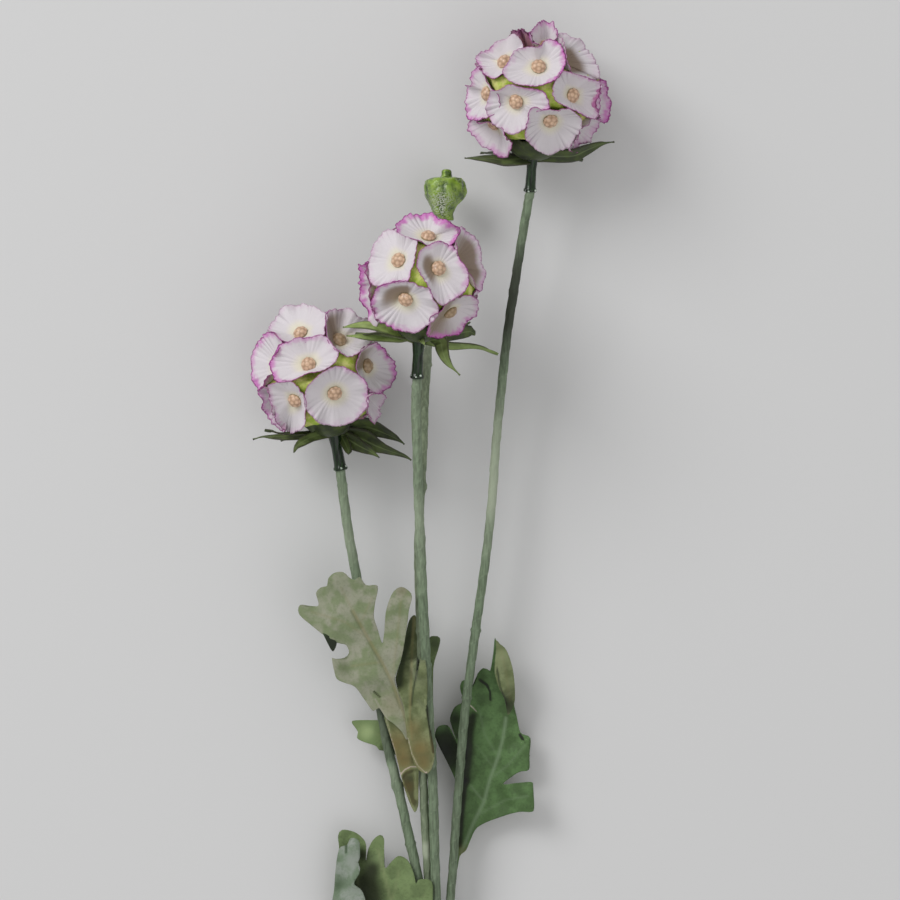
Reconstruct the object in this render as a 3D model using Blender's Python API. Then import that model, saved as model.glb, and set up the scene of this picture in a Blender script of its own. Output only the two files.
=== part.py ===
"""A spray of scabiosa: three round flower heads, a bud and five lobed leaves on wired stems, lying on its back.

Lengths are millimetres in the tables below, and placed() turns them into metres in the part's frame.
The plan points are x to the right and y towards the heads, seen from above, and z is the height over the surface.
"""

import math

import bmesh
import bpy
from mathutils import Matrix, Vector

MM = 0.001
PLAN_ORIGIN = (-6.4, -128.9, 0.3)  # the point of the plan that is the part's origin, under the footprint's middle

# One flower head, measured from its centre
HEAD_RADIUS = 27.4
CORE_RADIUS = 15.0
CORE_SIDES = 16
CORE_RINGS = 10
RING_REACH = 16.7
RING_RADIUS = 0.85
RING_POINTS = 16
RING_SIDES = 1  # bevel resolution that gives six sides
STALK_FOOT = 15.8
STALK_RADIUS = 1.25
STALK_TOP = 20.0
CUP_FLOOR = 22.4
CUP_WIDEST = math.radians(19.5)  # half the angle that one cup's mouth spans, at most
CUP_MARGIN = math.radians(1.3)
BEAD_RADIUS = 2.9
BEAD_SHOULDER = (2.1, 24.3)
BEAD_TOP = 24.9
FLORET_SIDES = 9

# The calyx neck under a head, and the whorl of bracts that it carries
NECK_PROFILE = ((0, -15.5), (2.5, -15.5), (2.4, -28.0), (2.0, -31.0), (2.3, -37.6), (2.7, -38.2), (2.7, -38.8),
                (0, -38.8))
NECK_SIDES = 10
WHORL_HUB = 2.9
WHORL_COLLAR = 7.2
WHORL_VALLEY = 9.0
WHORL_DEPTH = 25.6  # from the head's centre down to the whorl
SHOULDER_REACH = 0.55  # where a bract is widest, as a share of its length
SHOULDER_RISE = 0.3
SHOULDER_SPREAD = 0.4  # a bract's half width, as a share of the way to its neighbour
BRACT_HALF_WIDTH = math.radians(15)
BRACT_THICKNESS = 0.8
FLOOR_CLEARANCE = 1.6

LEAF_THICKNESS = 0.8
LEAF_GRID = 11.0
HEIGHT_BLUR = 0.5  # square millimetres round a stated height that count as on it
STEM_SIDES = 2  # bevel resolution that gives eight sides
STEM_STEP = 11.0

# Each head: centre, turn to the right and lift in degrees, then each floret's angle from the head's tip
# and its angle round from the upward side to the right, in degrees, row by row from the tip
HEADS = {
    "right": {
        "centre": (33.1, 136.8, 27.5),
        "turn": 4,
        "lift": 3,
        "rows": {
            "top_floret": ((12, 22),),
            "upper_florets": ((62, -42), (64, 0), (47, 68), (56, 117), (57, 166), (58, 215), (58, 268)),
            "middle_florets": ((95, -57), (100, -20), (90, 37), (98, 90), (95, 132), (94, 174), (95, 217), (97, 260)),
            "lower_florets": ((117, 17), (130, -63), (135, 79), (131, 140), (131, 195), (132, 244)),
        },
        "bracts": ((-92, 26, 2), (-50, 20, -1), (-8, 19, -2), (34, 22, -2), (88, 31, 6),
                   (132, 26, 1), (180, 25, 0), (226, 26, 1)),
    },
    "centre": {
        "centre": (-10.5, 65.3, 52.0),
        "turn": 3,
        "lift": 8,
        "rows": {
            "top_floret": ((12, 190),),
            "upper_florets": ((40, 6), (50, 112), (50, 165), (50, 218), (50, 284)),
            "middle_florets": ((69, -26), (74, 16), (64, 59), (88, 103), (90, 146), (90, 189), (88, 231), (70, 262)),
            "lower_florets": ((106, -15), (120, 33), (104, -72), (127, 92), (130, 150), (130, 205), (124, 246)),
        },
        "bracts": ((-66, 29, 3), (-100, 26, 0), (-10, 16, -3), (58, 22, -9), (96, 31, -2),
                   (128, 27, 5), (178, 22, 0), (226, 16, 0)),
    },
    "left": {
        "centre": (-48.3, 30.4, 27.5),
        "turn": -10,
        "lift": 5,
        "rows": {
            "top_floret": ((10, 150),),
            "upper_florets": ((42, -23), (58, 25), (55, 80), (52, 135), (50, 195), (40, 256)),
            "middle_florets": ((77, -13), (75, -68), (90, 49), (94, 92), (92, 132), (92, 170), (92, 209), (76, 250)),
            "lower_florets": ((110, 8), (111, -36), (109, 272), (132, 86), (130, 137), (130, 185), (131, 234)),
        },
        "bracts": ((-92, 31, -2), (-70, 27, -1), (-30, 25, -5), (8, 17, 1), (58, 27, -5),
                   (92, 30, -3), (150, 26, 0), (214, 26, 0)),
    },
}

# Centre lines of the wired stems, hand placed from the head or bud down to the joint
LEFT_STEM = ((-41.6, -8.6, 24.0), (-40.4, -19.0, 23.2), (-38.5, -32.8, 22.2), (-36.4, -44.2, 21.4), (-33.6, -61.0, 20.0),
             (-30.2, -80.2, 18.6), (-26.4, -99.3, 17.3), (-23.5, -114.7, 16.2), (-19.5, -130.8, 15.0),
             (-16.1, -146.2, 14.1), (-13.0, -160.0, 13.6), (-10.7, -172.2, 13.4), (-7.5, -189.2, 12.0))
CENTRE_STEM = ((-12.4, 26.2, 46.0), (-12.8, 15.1, 43.5), (-12.3, -1.9, 40.0), (-11.9, -18.9, 36.8), (-11.2, -34.5, 34.0),
               (-10.4, -55.8, 30.0), (-9.5, -72.2, 27.6), (-8.6, -89.4, 25.2), (-7.6, -108.6, 22.4), (-6.5, -129.7, 19.5),
               (-5.9, -152.0, 17.4), (-5.2, -172.1, 15.3), (-3.8, -189.0, 14.3))
RIGHT_STEM = ((30.4, 97.6, 25.4), (28.5, 87.2, 24.9), (25.1, 65.9, 23.9), (21.9, 44.6, 22.9), (19.6, 23.3, 21.9),
              (17.5, 1.9, 20.9), (16.0, -19.5, 19.9), (13.7, -40.8, 18.9), (10.7, -62.3, 17.9), (7.8, -83.7, 16.9),
              (5.4, -103.2, 16.0), (3.8, -122.4, 15.1), (2.3, -141.6, 14.2), (1.1, -160.0, 13.4), (0.0, -174.2, 12.7),
              (-0.2, -189.2, 12.0))
BUD_STEM = ((-1.3, 86.6, 17.0), (-2.1, 76.4, 17.5), (-5.0, 57.3, 18.0), (-8.2, 40.8, 19.5), (-8.8, 32.4, 22.0),
            (-9.7, 19.0, 27.0), (-10.1, 3.8, 31.5), (-11.0, -14.4, 33.4), (-12.0, -36.1, 29.8), (-11.6, -55.9, 26.2),
            (-10.9, -76.2, 22.9), (-10.5, -95.4, 20.3), (-10.3, -118.4, 18.0), (-9.9, -133.7, 17.0),
            (-9.0, -152.2, 14.8), (-7.5, -172.0, 11.3), (-3.8, -189.4, 9.6))
MAIN_STEM = ((-3.7, -203.0, 11.7), (-3.5, -222.0, 11.2), (-3.3, -250.0, 10.2), (-3.1, -287.8, 8.5), (-2.8, -330.0, 6.4),
             (-2.7, -380.0, 4.4), (-2.7, -421.8, 3.6))
STEM_RADII = {"left_stem": 1.85, "centre_stem": 1.85, "right_stem": 1.65, "bud_stem": 1.65, "main_stem": 3.3}

# The wrapped joint where the four stems meet the main stem: radius at each distance from its top
JOINT_TOP = (-3.7, -190.0, 11.9)
JOINT_PROFILE = ((0, 0), (5.6, 0), (6.2, -1.0), (5.9, -5.0), (4.2, -11.5), (3.5, -12.6), (0, -12.6))
JOINT_SIDES = 14

# The bud: radius at each distance from its foot towards its nub
BUD_FOOT = (-0.9, 87.6, 17.0)
BUD_TURN = -3
BUD_PROFILE = ((0, 0), (1.9, 0), (3.4, 3.5), (6.1, 8.2), (7.7, 12.0), (7.6, 14.6), (5.4, 16.4), (2.6, 16.7), (2.3, 19.6),
               (1.2, 20.2), (0, 20.2))
BUD_SIDES = 12

# Each leaf: its outline in plan, and a few heights (x, y, z) that its surface passes near
LEAVES = {
    "front_leaf": {
        "outline": ((-46.4, -49.4), (-42.2, -46.2), (-38.0, -48.6), (-34.2, -48.3), (-31.7, -51.3), (-28.2, -51.1),
                    (-27.4, -53.0), (-28.7, -60.8), (-25.9, -73.6), (-24.7, -68.8), (-23.6, -59.3), (-22.0, -54.9),
                    (-19.0, -52.2), (-16.0, -52.8), (-14.7, -55.1), (-16.0, -61.2), (-19.4, -80.6), (-21.5, -88.2),
                    (-19.8, -95.0), (-17.5, -105.6), (-15.6, -115.9), (-13.6, -122.4), (-13.3, -130.0), (-14.1, -137.6),
                    (-16.3, -132.2), (-19.4, -122.4), (-22.0, -113.2), (-23.9, -103.4), (-27.7, -98.8), (-30.2, -98.8),
                    (-32.9, -95.0), (-36.9, -89.3), (-43.3, -85.5), (-44.8, -77.5), (-39.5, -76.8), (-47.5, -70.3),
                    (-55.1, -65.4), (-57.8, -61.9), (-57.4, -58.9), (-49.2, -58.9), (-50.5, -54.2)),
        "heights": ((-42, -47, 33), (-37, -61, 31), (-26, -81, 28), (-56, -61, 27), (-44, -82, 25), (-15, -54, 30),
                    (-19, -76, 28), (-28, -98, 22.5), (-19, -105, 24), (-17, -120, 21), (-14, -137, 17.5)),
    },
    "inner_leaf": {
        "outline": ((-9.1, -122.7), (-6.5, -118.6), (-5.9, -112.1), (-7.2, -104.5), (-8.4, -95.0), (-9.3, -86.6),
                    (-10.6, -82.0), (-12.6, -89.5), (-13.4, -76.0), (-13.2, -66.5), (-14.0, -62.5), (-15.6, -64.6),
                    (-17.3, -72.2), (-18.0, -80.6), (-18.4, -88.2), (-16.9, -96.9), (-15.0, -106.4), (-13.6, -114.8),
                    (-11.8, -121.2)),
        "heights": ((-9, -122, 25.0), (-6.5, -112, 27.0), (-8.5, -95, 29.5), (-10.6, -84, 32), (-14, -63, 19),
                    (-14, -76, 19), (-17, -86, 22), (-14, -98, 25.5), (-12, -112, 25.5)),
    },
    "rear_leaf": {
        "outline": ((-9.5, -123.1), (-14.4, -119.3), (-19.8, -116.3), (-27.7, -112.5), (-35.3, -109.8), (-35.1, -107.2),
                    (-37.1, -103.0), (-27.4, -102.6), (-19.8, -101.8), (-14.4, -93.1), (-9.9, -81.3), (-7.2, -72.2),
                    (-5.3, -70.9), (-4.1, -72.7), (-4.9, -77.9), (-6.5, -83.6), (-6.5, -96.9), (-7.2, -112.1)),
        "heights": ((-9.5, -122, 14), (-36, -105, 9), (-25, -108, 11), (-14, -104, 13), (-6, -72, 18), (-9, -90, 16)),
    },
    "right_leaf": {
        "outline": ((3.4, -158.6), (4.9, -155.0), (8.0, -148.6), (10.6, -143.4), (14.4, -140.6), (19.6, -139.1),
                    (31.2, -137.6), (31.9, -131.9), (31.5, -126.5), (27.7, -126.0), (20.1, -127.1), (25.1, -123.1),
                    (29.6, -121.2), (29.8, -109.1), (26.9, -107.9), (25.5, -101.1), (24.1, -85.1), (22.4, -77.7),
                    (17.3, -71.6), (15.2, -83.6), (13.2, -82.7), (7.6, -89.7), (4.2, -89.5), (2.5, -91.6),
                    (-0.4, -101.1), (0.2, -106.4), (-2.5, -104.8), (-5.1, -106.8), (-4.6, -112.1), (-1.5, -119.3),
                    (1.7, -126.2), (3.0, -136.8), (3.6, -150.1)),
        "heights": ((4, -157, 9.5), (6, -148, 9), (14, -133, 8), (20, -112, 8), (17.5, -73, 13), (31, -132, 12),
                    (29, -115, 10), (-4, -108, 9), (0, -98, 10), (3, -130, 9)),
    },
    "low_leaf": {
        "outline": ((-44.5, -172.9), (-44.3, -163.4), (-42.6, -153.1), (-42.4, -145.9), (-41.0, -144.0),
                    (-35.3, -145.5), (-32.1, -149.7), (-31.0, -156.6), (-29.3, -148.2), (-26.6, -146.3),
                    (-25.1, -147.8), (-24.7, -158.1), (-22.4, -155.8), (-19.9, -154.1), (-16.3, -156.2),
                    (-13.5, -164.5), (-9.7, -162.9), (-7.4, -164.9), (-6.5, -172.9), (-4.6, -182.4), (-2.3, -193.8),
                    (-1.5, -205.2), (-3.8, -213.6), (-9.5, -210.1), (-19.0, -203.3), (-30.4, -196.8),
                    (-39.9, -189.2), (-44.1, -181.6)),
        "heights": ((-43, -150, 11), (-36, -172, 12), (-27, -150, 13.5), (-20, -158, 16.5), (-9.5, -165, 18.6),
                    (-6, -178, 19), (-3, -194, 20), (-3.5, -212, 16.5), (-20, -190, 15.5), (-42, -185, 10)),
    },
}

# Name, sRGB colour and roughness of each finish
FINISHES = {
    "petal": ((0.88, 0.84, 0.88), 0.75),
    "core": ((0.66, 0.70, 0.36), 0.8),
    "neck": ((0.10, 0.20, 0.10), 0.3),
    "bract": ((0.20, 0.26, 0.11), 0.6),
    "stem": ((0.38, 0.50, 0.38), 0.7),
    "bud": ((0.42, 0.55, 0.16), 0.25),
    "pale_leaf": ((0.57, 0.61, 0.47), 0.8),
    "green_leaf": ((0.27, 0.42, 0.20), 0.6),
}


def clear_scene():
    """Removes every object that the new file came with."""
    for item in list(bpy.data.objects):
        bpy.data.objects.remove(item)


def placed(point):
    """A plan point in millimetres, as a place in metres in the part's frame."""
    return (Vector(point) - Vector(PLAN_ORIGIN)) * MM


def make_finishes():
    """One Principled material for each finish."""
    made = {}
    for name, (colour, roughness) in FINISHES.items():
        finish = bpy.data.materials.new(name)
        finish.use_nodes = True
        shader = finish.node_tree.nodes["Principled BSDF"]
        shader.inputs["Base Color"].default_value = (*(channel**2.2 for channel in colour), 1)
        shader.inputs["Roughness"].default_value = roughness
        made[name] = finish
    return made


def show(name, mesh, finish, smooth_under=50):
    """Links the mesh as an object of that name, shaded smooth up to the given angle."""
    mesh.name = name
    mesh.materials.clear()
    mesh.materials.append(finish)
    mesh.shade_smooth()
    mesh.set_sharp_from_angle(angle=math.radians(smooth_under))
    piece = bpy.data.objects.new(name, mesh)
    bpy.context.scene.collection.objects.link(piece)
    return piece


def mesh_of(shape):
    """Turns a finished bmesh into a mesh with its faces outwards."""
    bmesh.ops.remove_doubles(shape, verts=shape.verts, dist=1e-6)
    bmesh.ops.recalc_face_normals(shape, faces=shape.faces)
    mesh = bpy.data.meshes.new("shape")
    shape.to_mesh(mesh)
    shape.free()
    return mesh


def turned(shape, profile, sides, place):
    """Spins a profile of (radius, distance along the axis) in millimetres about Z, and moves it to its place."""
    points = [shape.verts.new((radius * MM, 0, along * MM)) for radius, along in profile]
    edges = [shape.edges.new(pair) for pair in zip(points, points[1:])]
    bmesh.ops.spin(shape, geom=points + edges, cent=(0, 0, 0), axis=(0, 0, 1), angle=math.tau, steps=sides, use_merge=True)
    made = [corner for corner in shape.verts if corner.is_valid and not corner.tag]
    bmesh.ops.remove_doubles(shape, verts=made, dist=1e-6)
    made = [corner for corner in shape.verts if not corner.tag]
    bmesh.ops.transform(shape, matrix=place, verts=made)
    for corner in made:
        corner.tag = True


def along(direction, centre=Vector((0, 0, 0))):
    """The matrix that lays +Z along a direction and moves to a centre."""
    return Matrix.Translation(centre) @ direction.to_track_quat("Z", "Y").to_matrix().to_4x4()


def head_axes(head):
    """The head's axis out through its tip, its right side, and its upper side."""
    turn = math.radians(head["turn"])
    lift = math.radians(head["lift"])
    axis = Vector((math.sin(turn) * math.cos(lift), math.cos(turn) * math.cos(lift), math.sin(lift)))
    side = axis.cross(Vector((0, 0, 1))).normalized()
    return axis, side, side.cross(axis)


def aimed(axes, angles):
    """The direction at (degrees from the tip, degrees round from the upper side to the right)."""
    axis, side, upper = axes
    down, round_ = (math.radians(angle) for angle in angles)
    return axis * math.cos(down) + (side * math.sin(round_) + upper * math.cos(round_)) * math.sin(down)


def add_floret(shape, direction, spread, centre):
    """One floret: a stalk that opens into a cup of the given half angle, with a bead on the cup's floor."""
    rim = (HEAD_RADIUS * math.sin(spread), HEAD_RADIUS * math.cos(spread))
    profile = ((0, STALK_FOOT), (STALK_RADIUS, STALK_FOOT), (STALK_RADIUS, STALK_TOP), rim, (BEAD_RADIUS, CUP_FLOOR),
               BEAD_SHOULDER, (0, BEAD_TOP))
    turned(shape, profile, FLORET_SIDES, along(direction, centre))


def ring_path(axes, row):
    """Points all round the core, through the stalks of one row of florets, in millimetres from the centre."""
    stops = sorted((round_ % 360, down) for down, round_ in row)
    stops.append((stops[0][0] + 360, stops[0][1]))
    path = []
    for (start, first), (end, last) in zip(stops, stops[1:]):
        count = max(2, round(RING_POINTS * (end - start) / 360))
        for step in range(count):
            share = step / count
            ease = share * share * (3 - 2 * share)
            angles = (first + (last - first) * ease, start + (end - start) * share)
            path.append(aimed(axes, angles) * RING_REACH)
    return path


def tube(name, path, radius, sides, closed=False):
    """A round tube of the given radius in millimetres along a path in metres."""
    curve = bpy.data.curves.new(name, "CURVE")
    curve.dimensions = "3D"
    curve.bevel_depth = radius * MM
    curve.bevel_resolution = sides
    curve.use_fill_caps = True
    spline = curve.splines.new("POLY")
    spline.points.add(len(path) - 1)
    for point, place in zip(spline.points, path):
        point.co = (*place, 1)
    spline.use_cyclic_u = closed
    return curve


def baked(curve):
    """The mesh that a curve draws."""
    holder = bpy.data.objects.new("holder", curve)
    bpy.context.scene.collection.objects.link(holder)
    bpy.context.view_layer.update()
    graph = bpy.context.evaluated_depsgraph_get()
    mesh = bpy.data.meshes.new_from_object(holder.evaluated_get(graph))
    bpy.data.objects.remove(holder)
    return mesh


def make_row(name, head, axes, row, spreads, finish):
    """One row of florets. Several florets share a thin ring round the core, which stands in for their glue."""
    centre = placed(head["centre"])
    shape = bmesh.new()
    for angles in row:
        add_floret(shape, aimed(axes, angles), spreads[angles], centre)
    if len(row) == 1:
        return show(name, mesh_of(shape), finish)
    florets = show(name + ".cups", mesh_of(shape), finish)
    florets.hide_render = True
    florets.display_type = "WIRE"
    path = [centre + point * MM for point in ring_path(axes, row)]
    ring = show(name, baked(tube(name, path, RING_RADIUS, RING_SIDES, closed=True)), finish)
    join = ring.modifiers.new("join", "BOOLEAN")
    join.operation = "UNION"
    join.object = florets
    return ring


def cup_spreads(axes, head):
    """How wide each cup opens: until it nearly meets the closest other cup."""
    florets = [angles for row in head["rows"].values() for angles in row]
    spreads = {}
    for angles in florets:
        here = aimed(axes, angles)
        nearest = min(here.angle(aimed(axes, other)) for other in florets if other != angles)
        spreads[angles] = min(CUP_WIDEST, nearest / 2 - CUP_MARGIN)
    return spreads


def whorl_outline(bracts):
    """The whorl's edge as (angle round, distance out, rise): a valley, a shoulder, a tip and a shoulder per bract."""
    bracts = sorted((math.radians(turn % 360), length, rise) for turn, length, rise in bracts)
    turns = [bracts[-1][0] - math.tau] + [bract[0] for bract in bracts] + [bracts[0][0] + math.tau]
    edge = []
    for before, (turn, length, rise), after in zip(turns, bracts, turns[2:]):
        left = min(BRACT_HALF_WIDTH, (turn - before) * SHOULDER_SPREAD)
        right = min(BRACT_HALF_WIDTH, (after - turn) * SHOULDER_SPREAD)
        edge.append(((before + turn) / 2, WHORL_VALLEY, 0))
        edge.append((turn - left, length * SHOULDER_REACH, rise * SHOULDER_RISE))
        edge.append((turn, length, rise))
        edge.append((turn + right, length * SHOULDER_REACH, rise * SHOULDER_RISE))
    return edge


def make_whorl(name, head, axes, finish):
    """The bracts: pointed lobes round one hub, each given as (angle round, length, rise towards the tip)."""
    axis, side, upper = axes
    centre = placed(head["centre"])
    shape = bmesh.new()
    rings = ([], [], [])
    for turn, reach, rise in whorl_outline(head["bracts"]):
        outward = side * math.sin(turn) + upper * math.cos(turn)
        if outward.z < 0:
            reach = min(reach, (head["centre"][2] - FLOOR_CLEARANCE) / -outward.z)
        for ring, distance, bend in zip(rings, (WHORL_HUB, WHORL_COLLAR, reach), (0, 0, rise)):
            place = outward * distance - axis * (WHORL_DEPTH - bend)
            ring.append(shape.verts.new(centre + place * MM))
    count = len(rings[0])
    for inner, outer in zip(rings, rings[1:]):
        for index in range(count):
            after = (index + 1) % count
            shape.faces.new((inner[index], inner[after], outer[after], outer[index]))
    bmesh.ops.recalc_face_normals(shape, faces=shape.faces)
    bmesh.ops.solidify(shape, geom=shape.faces, thickness=BRACT_THICKNESS * MM)
    return show(name, mesh_of(shape), finish, smooth_under=30)


def smooth_path(points, step):
    """Points about a step apart on a smooth curve through the given points, in metres."""
    points = [Vector(point) for point in points]
    padded = [points[0] * 2 - points[1]] + points + [points[-1] * 2 - points[-2]]
    path = []
    for before, start, end, after in zip(padded, padded[1:], padded[2:], padded[3:]):
        count = max(1, round((end - start).length / step))
        for index in range(count):
            share = index / count
            slope_in = (end - before) / 2
            slope_out = (after - start) / 2
            cube, square = share**3, share**2
            path.append(
                start * (2 * cube - 3 * square + 1)
                + slope_in * (cube - 2 * square + share)
                + end * (3 * square - 2 * cube)
                + slope_out * (cube - square)
            )
    path.append(points[-1])
    return [placed(point) for point in path]


def make_stem(name, points, finish):
    """One wired stem along its centre line, with flat ends."""
    curve = tube(name, smooth_path(points, STEM_STEP), STEM_RADII[name], STEM_SIDES)
    curve.materials.append(finish)
    piece = bpy.data.objects.new(name, curve)
    bpy.context.scene.collection.objects.link(piece)


def height_at(x, y, heights):
    """The height of a leaf at a plan point: a mean of its stated heights, weighted to the nearest."""
    weights = [1 / (HEIGHT_BLUR + (x - px) ** 2 + (y - py) ** 2) ** 1.5 for px, py, _ in heights]
    return sum(weight * pz for weight, (_, _, pz) in zip(weights, heights)) / sum(weights)


def make_leaf(name, leaf, finish):
    """A leaf cut to its outline, bent to its heights, and given its thickness."""
    shape = bmesh.new()
    shape.faces.new([shape.verts.new((x, y, 0)) for x, y in leaf["outline"]])
    for axis in (0, 1):
        low = min(point[axis] for point in leaf["outline"])
        high = max(point[axis] for point in leaf["outline"])
        normal = (1, 0, 0) if axis == 0 else (0, 1, 0)
        for index in range(1, int((high - low) / LEAF_GRID) + 1):
            cut = [0, 0, 0]
            cut[axis] = low + index * LEAF_GRID
            everything = list(shape.verts) + list(shape.edges) + list(shape.faces)
            bmesh.ops.bisect_plane(shape, geom=everything, dist=0.05, plane_co=cut, plane_no=normal)
    bmesh.ops.triangulate(shape, faces=shape.faces)
    for corner in shape.verts:
        x, y, _ = corner.co
        corner.co = placed((x, y, height_at(x, y, leaf["heights"]) - LEAF_THICKNESS / 2))
    bmesh.ops.recalc_face_normals(shape, faces=shape.faces)
    wall = bmesh.ops.extrude_face_region(shape, geom=list(shape.faces), use_keep_orig=True)
    lifted = [item for item in wall["geom"] if isinstance(item, bmesh.types.BMVert)]
    bmesh.ops.translate(shape, verts=lifted, vec=(0, 0, LEAF_THICKNESS * MM))
    show(name, mesh_of(shape), finish, smooth_under=30)


def make_core(name, head, finish):
    """The ball that the florets are set in."""
    shape = bmesh.new()
    bmesh.ops.create_uvsphere(shape, u_segments=CORE_SIDES, v_segments=CORE_RINGS, radius=CORE_RADIUS * MM)
    bmesh.ops.transform(shape, matrix=Matrix.Translation(placed(head["centre"])), verts=shape.verts)
    show(name, mesh_of(shape), finish)


def make_turned(name, profile, sides, place, finish):
    """One turned piece."""
    shape = bmesh.new()
    turned(shape, profile, sides, place)
    return show(name, mesh_of(shape), finish)


def make_head(side, head, finishes):
    """A whole flower head: core, four rows of florets, neck and whorl."""
    axes = head_axes(head)
    spreads = cup_spreads(axes, head)
    make_core(f"{side}_core", head, finishes["core"])
    for row_name, row in head["rows"].items():
        make_row(f"{side}_{row_name}", head, axes, row, spreads, finishes["petal"])
    make_turned(f"{side}_neck", NECK_PROFILE, NECK_SIDES, along(axes[0], placed(head["centre"])), finishes["neck"])
    make_whorl(f"{side}_bracts", head, axes, finishes["bract"])


def make_stems(finishes):
    """The four branch stems, the main stem and the wrapped joint between them."""
    paths = {"left_stem": LEFT_STEM, "centre_stem": CENTRE_STEM, "right_stem": RIGHT_STEM, "bud_stem": BUD_STEM,
             "main_stem": MAIN_STEM}
    for name, points in paths.items():
        make_stem(name, points, finishes["stem"])
    towards_heads = Vector((0, 1, 0))
    make_turned("stem_joint", JOINT_PROFILE, JOINT_SIDES, along(towards_heads, placed(JOINT_TOP)), finishes["stem"])


def make_bud(finishes):
    """The bud on its own stem."""
    turn = math.radians(BUD_TURN)
    direction = Vector((math.sin(turn), math.cos(turn), 0))
    make_turned("bud", BUD_PROFILE, BUD_SIDES, along(direction, placed(BUD_FOOT)), finishes["bud"])


def main():
    """Builds the spray."""
    clear_scene()
    finishes = make_finishes()
    for side, head in HEADS.items():
        make_head(side, head, finishes)
    make_stems(finishes)
    make_bud(finishes)
    for name, leaf in LEAVES.items():
        pale = name in ("front_leaf", "inner_leaf")
        make_leaf(name, leaf, finishes["pale_leaf" if pale else "green_leaf"])


main()
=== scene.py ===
"""Looks of an artificial scabiosa spray: heads of dyed cloth cups, a bud and lobed leaves on wired stems.

Lengths are millimetres on a plan: x to the right, y towards the heads, z up. PLAN_TO_FRAME turns a finished
shape into metres in the CAD frame. A picture place is (x, y) in a picture of 900 by 900 pixels.
"""

import logging
import math
import random
from dataclasses import dataclass, field
from enum import Enum
from typing import Iterable, Sequence

import bmesh
import bpy
from bmesh.types import BMEdge, BMesh, BMLayerItem, BMVert
from bpy.types import Material, Node, NodeSocket, Object
from mathutils import Matrix, Vector, noise
from mathutils.bvhtree import BVHTree


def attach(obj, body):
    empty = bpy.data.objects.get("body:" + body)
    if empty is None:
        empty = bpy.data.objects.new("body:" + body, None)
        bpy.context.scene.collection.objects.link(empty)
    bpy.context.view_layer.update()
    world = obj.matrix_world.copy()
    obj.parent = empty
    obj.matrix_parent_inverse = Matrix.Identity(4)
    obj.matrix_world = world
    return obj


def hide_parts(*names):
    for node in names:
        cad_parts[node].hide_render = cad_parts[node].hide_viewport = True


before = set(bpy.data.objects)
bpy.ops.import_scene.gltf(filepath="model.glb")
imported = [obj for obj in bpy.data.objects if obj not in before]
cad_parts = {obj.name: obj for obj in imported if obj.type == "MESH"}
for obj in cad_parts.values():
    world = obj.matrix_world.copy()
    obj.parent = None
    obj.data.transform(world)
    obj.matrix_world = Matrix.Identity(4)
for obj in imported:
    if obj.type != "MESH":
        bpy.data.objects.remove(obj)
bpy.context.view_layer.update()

log = logging.getLogger("spray")

PLAN_ORIGIN = Vector((-6.4, -128.9, 0.3))
PLAN_TO_FRAME = Matrix.Scale(0.001, 4) @ Matrix.Translation(-PLAN_ORIGIN)
SURFACE = 0.3  # height on the plan of what the spray lies on
MM_PER_PIXEL = 0.38
PICTURE_MIDDLE = 450.0
FOCUS_HEIGHT = 28.0  # height at which a pixel is MM_PER_PIXEL
CAMERA_RISE = 2000.0  # of the camera over FOCUS_HEIGHT

Place = tuple[float, float]
Point = tuple[float, float, float]
Span = tuple[float, float, float, float]
SoftLine = tuple[tuple[Place, ...], float, float]  # picture places, half width in pixels, strength


class Row(Enum):
    """A head's rows of florets from the tip down, as its CAD nodes are named."""

    TOP = "top_floret"
    UPPER = "upper_florets"
    MIDDLE = "middle_florets"
    LOWER = "lower_florets"


class Side(Enum):
    """What one side of a leaf's cloth is finished with."""

    SAGE = "flocked_cotton_sage"
    # The sage flocking darkened as painted shade, for leaves that lie in shadow.
    SHADED = "flocked_cotton_sage_painted_shade"
    GREY = "flocked_cotton_grey"
    GREEN = "printed_cotton_green"
    OLIVE = "printed_cotton_olive"


class Slot(Enum):
    """The record's material slots."""

    PETAL = "petal"
    CORE = "core"
    NECK = "neck"
    BRACT = "bract"
    STEM = "stem"
    BUD = "bud"
    PALE_LEAF = "pale_leaf"
    GREEN_LEAF = "green_leaf"


def under_picture(place: Place, height: float) -> Vector:
    """The plan point of that height that the camera sees at a picture place.

    Args:
        place: x and y in picture pixels.
        height: the point's height on the plan.

    Returns:
        The point on the plan.
    """
    scale = MM_PER_PIXEL * (1 - (height - FOCUS_HEIGHT) / CAMERA_RISE)
    return Vector(((place[0] - PICTURE_MIDDLE) * scale, (PICTURE_MIDDLE - place[1]) * scale, height))


def linear(colour: str) -> tuple[float, float, float, float]:
    """The linear RGBA value of an sRGB hex colour such as "#A0B0C0"."""
    channels = (int(colour[index : index + 2], 16) / 255 for index in (1, 3, 5))
    return (*(c / 12.92 if c <= 0.04045 else ((c + 0.055) / 1.055) ** 2.4 for c in channels), 1.0)


def smooth(value: float, low: float, high: float) -> float:
    """0 below low, 1 above high, and an even S curve between them."""
    share = min(max((value - low) / (high - low), 0.0), 1.0)
    return share * share * (3 - 2 * share)


def curve_through(points: Sequence[Vector], step: float, closed: bool) -> list[Vector]:
    """Points about a step apart on a smooth curve through the given ones.

    Args:
        points: what the curve passes through.
        step: the distance between the new points.
        closed: whether the curve returns to its first point.

    Returns:
        The new points, without the first one again on a closed curve.
    """
    points = list(points)
    if closed:
        padded = [points[-1]] + points + points[:2]
    else:
        padded = [points[0] * 2 - points[1]] + points + [points[-1] * 2 - points[-2]]
    path = []
    for before, start, end, after in zip(padded, padded[1:], padded[2:], padded[3:]):
        count = max(1, round((end - start).length / step))
        path.extend(curve_point(before, start, end, after, index / count) for index in range(count))
    return path if closed else path + [points[-1]]


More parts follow.
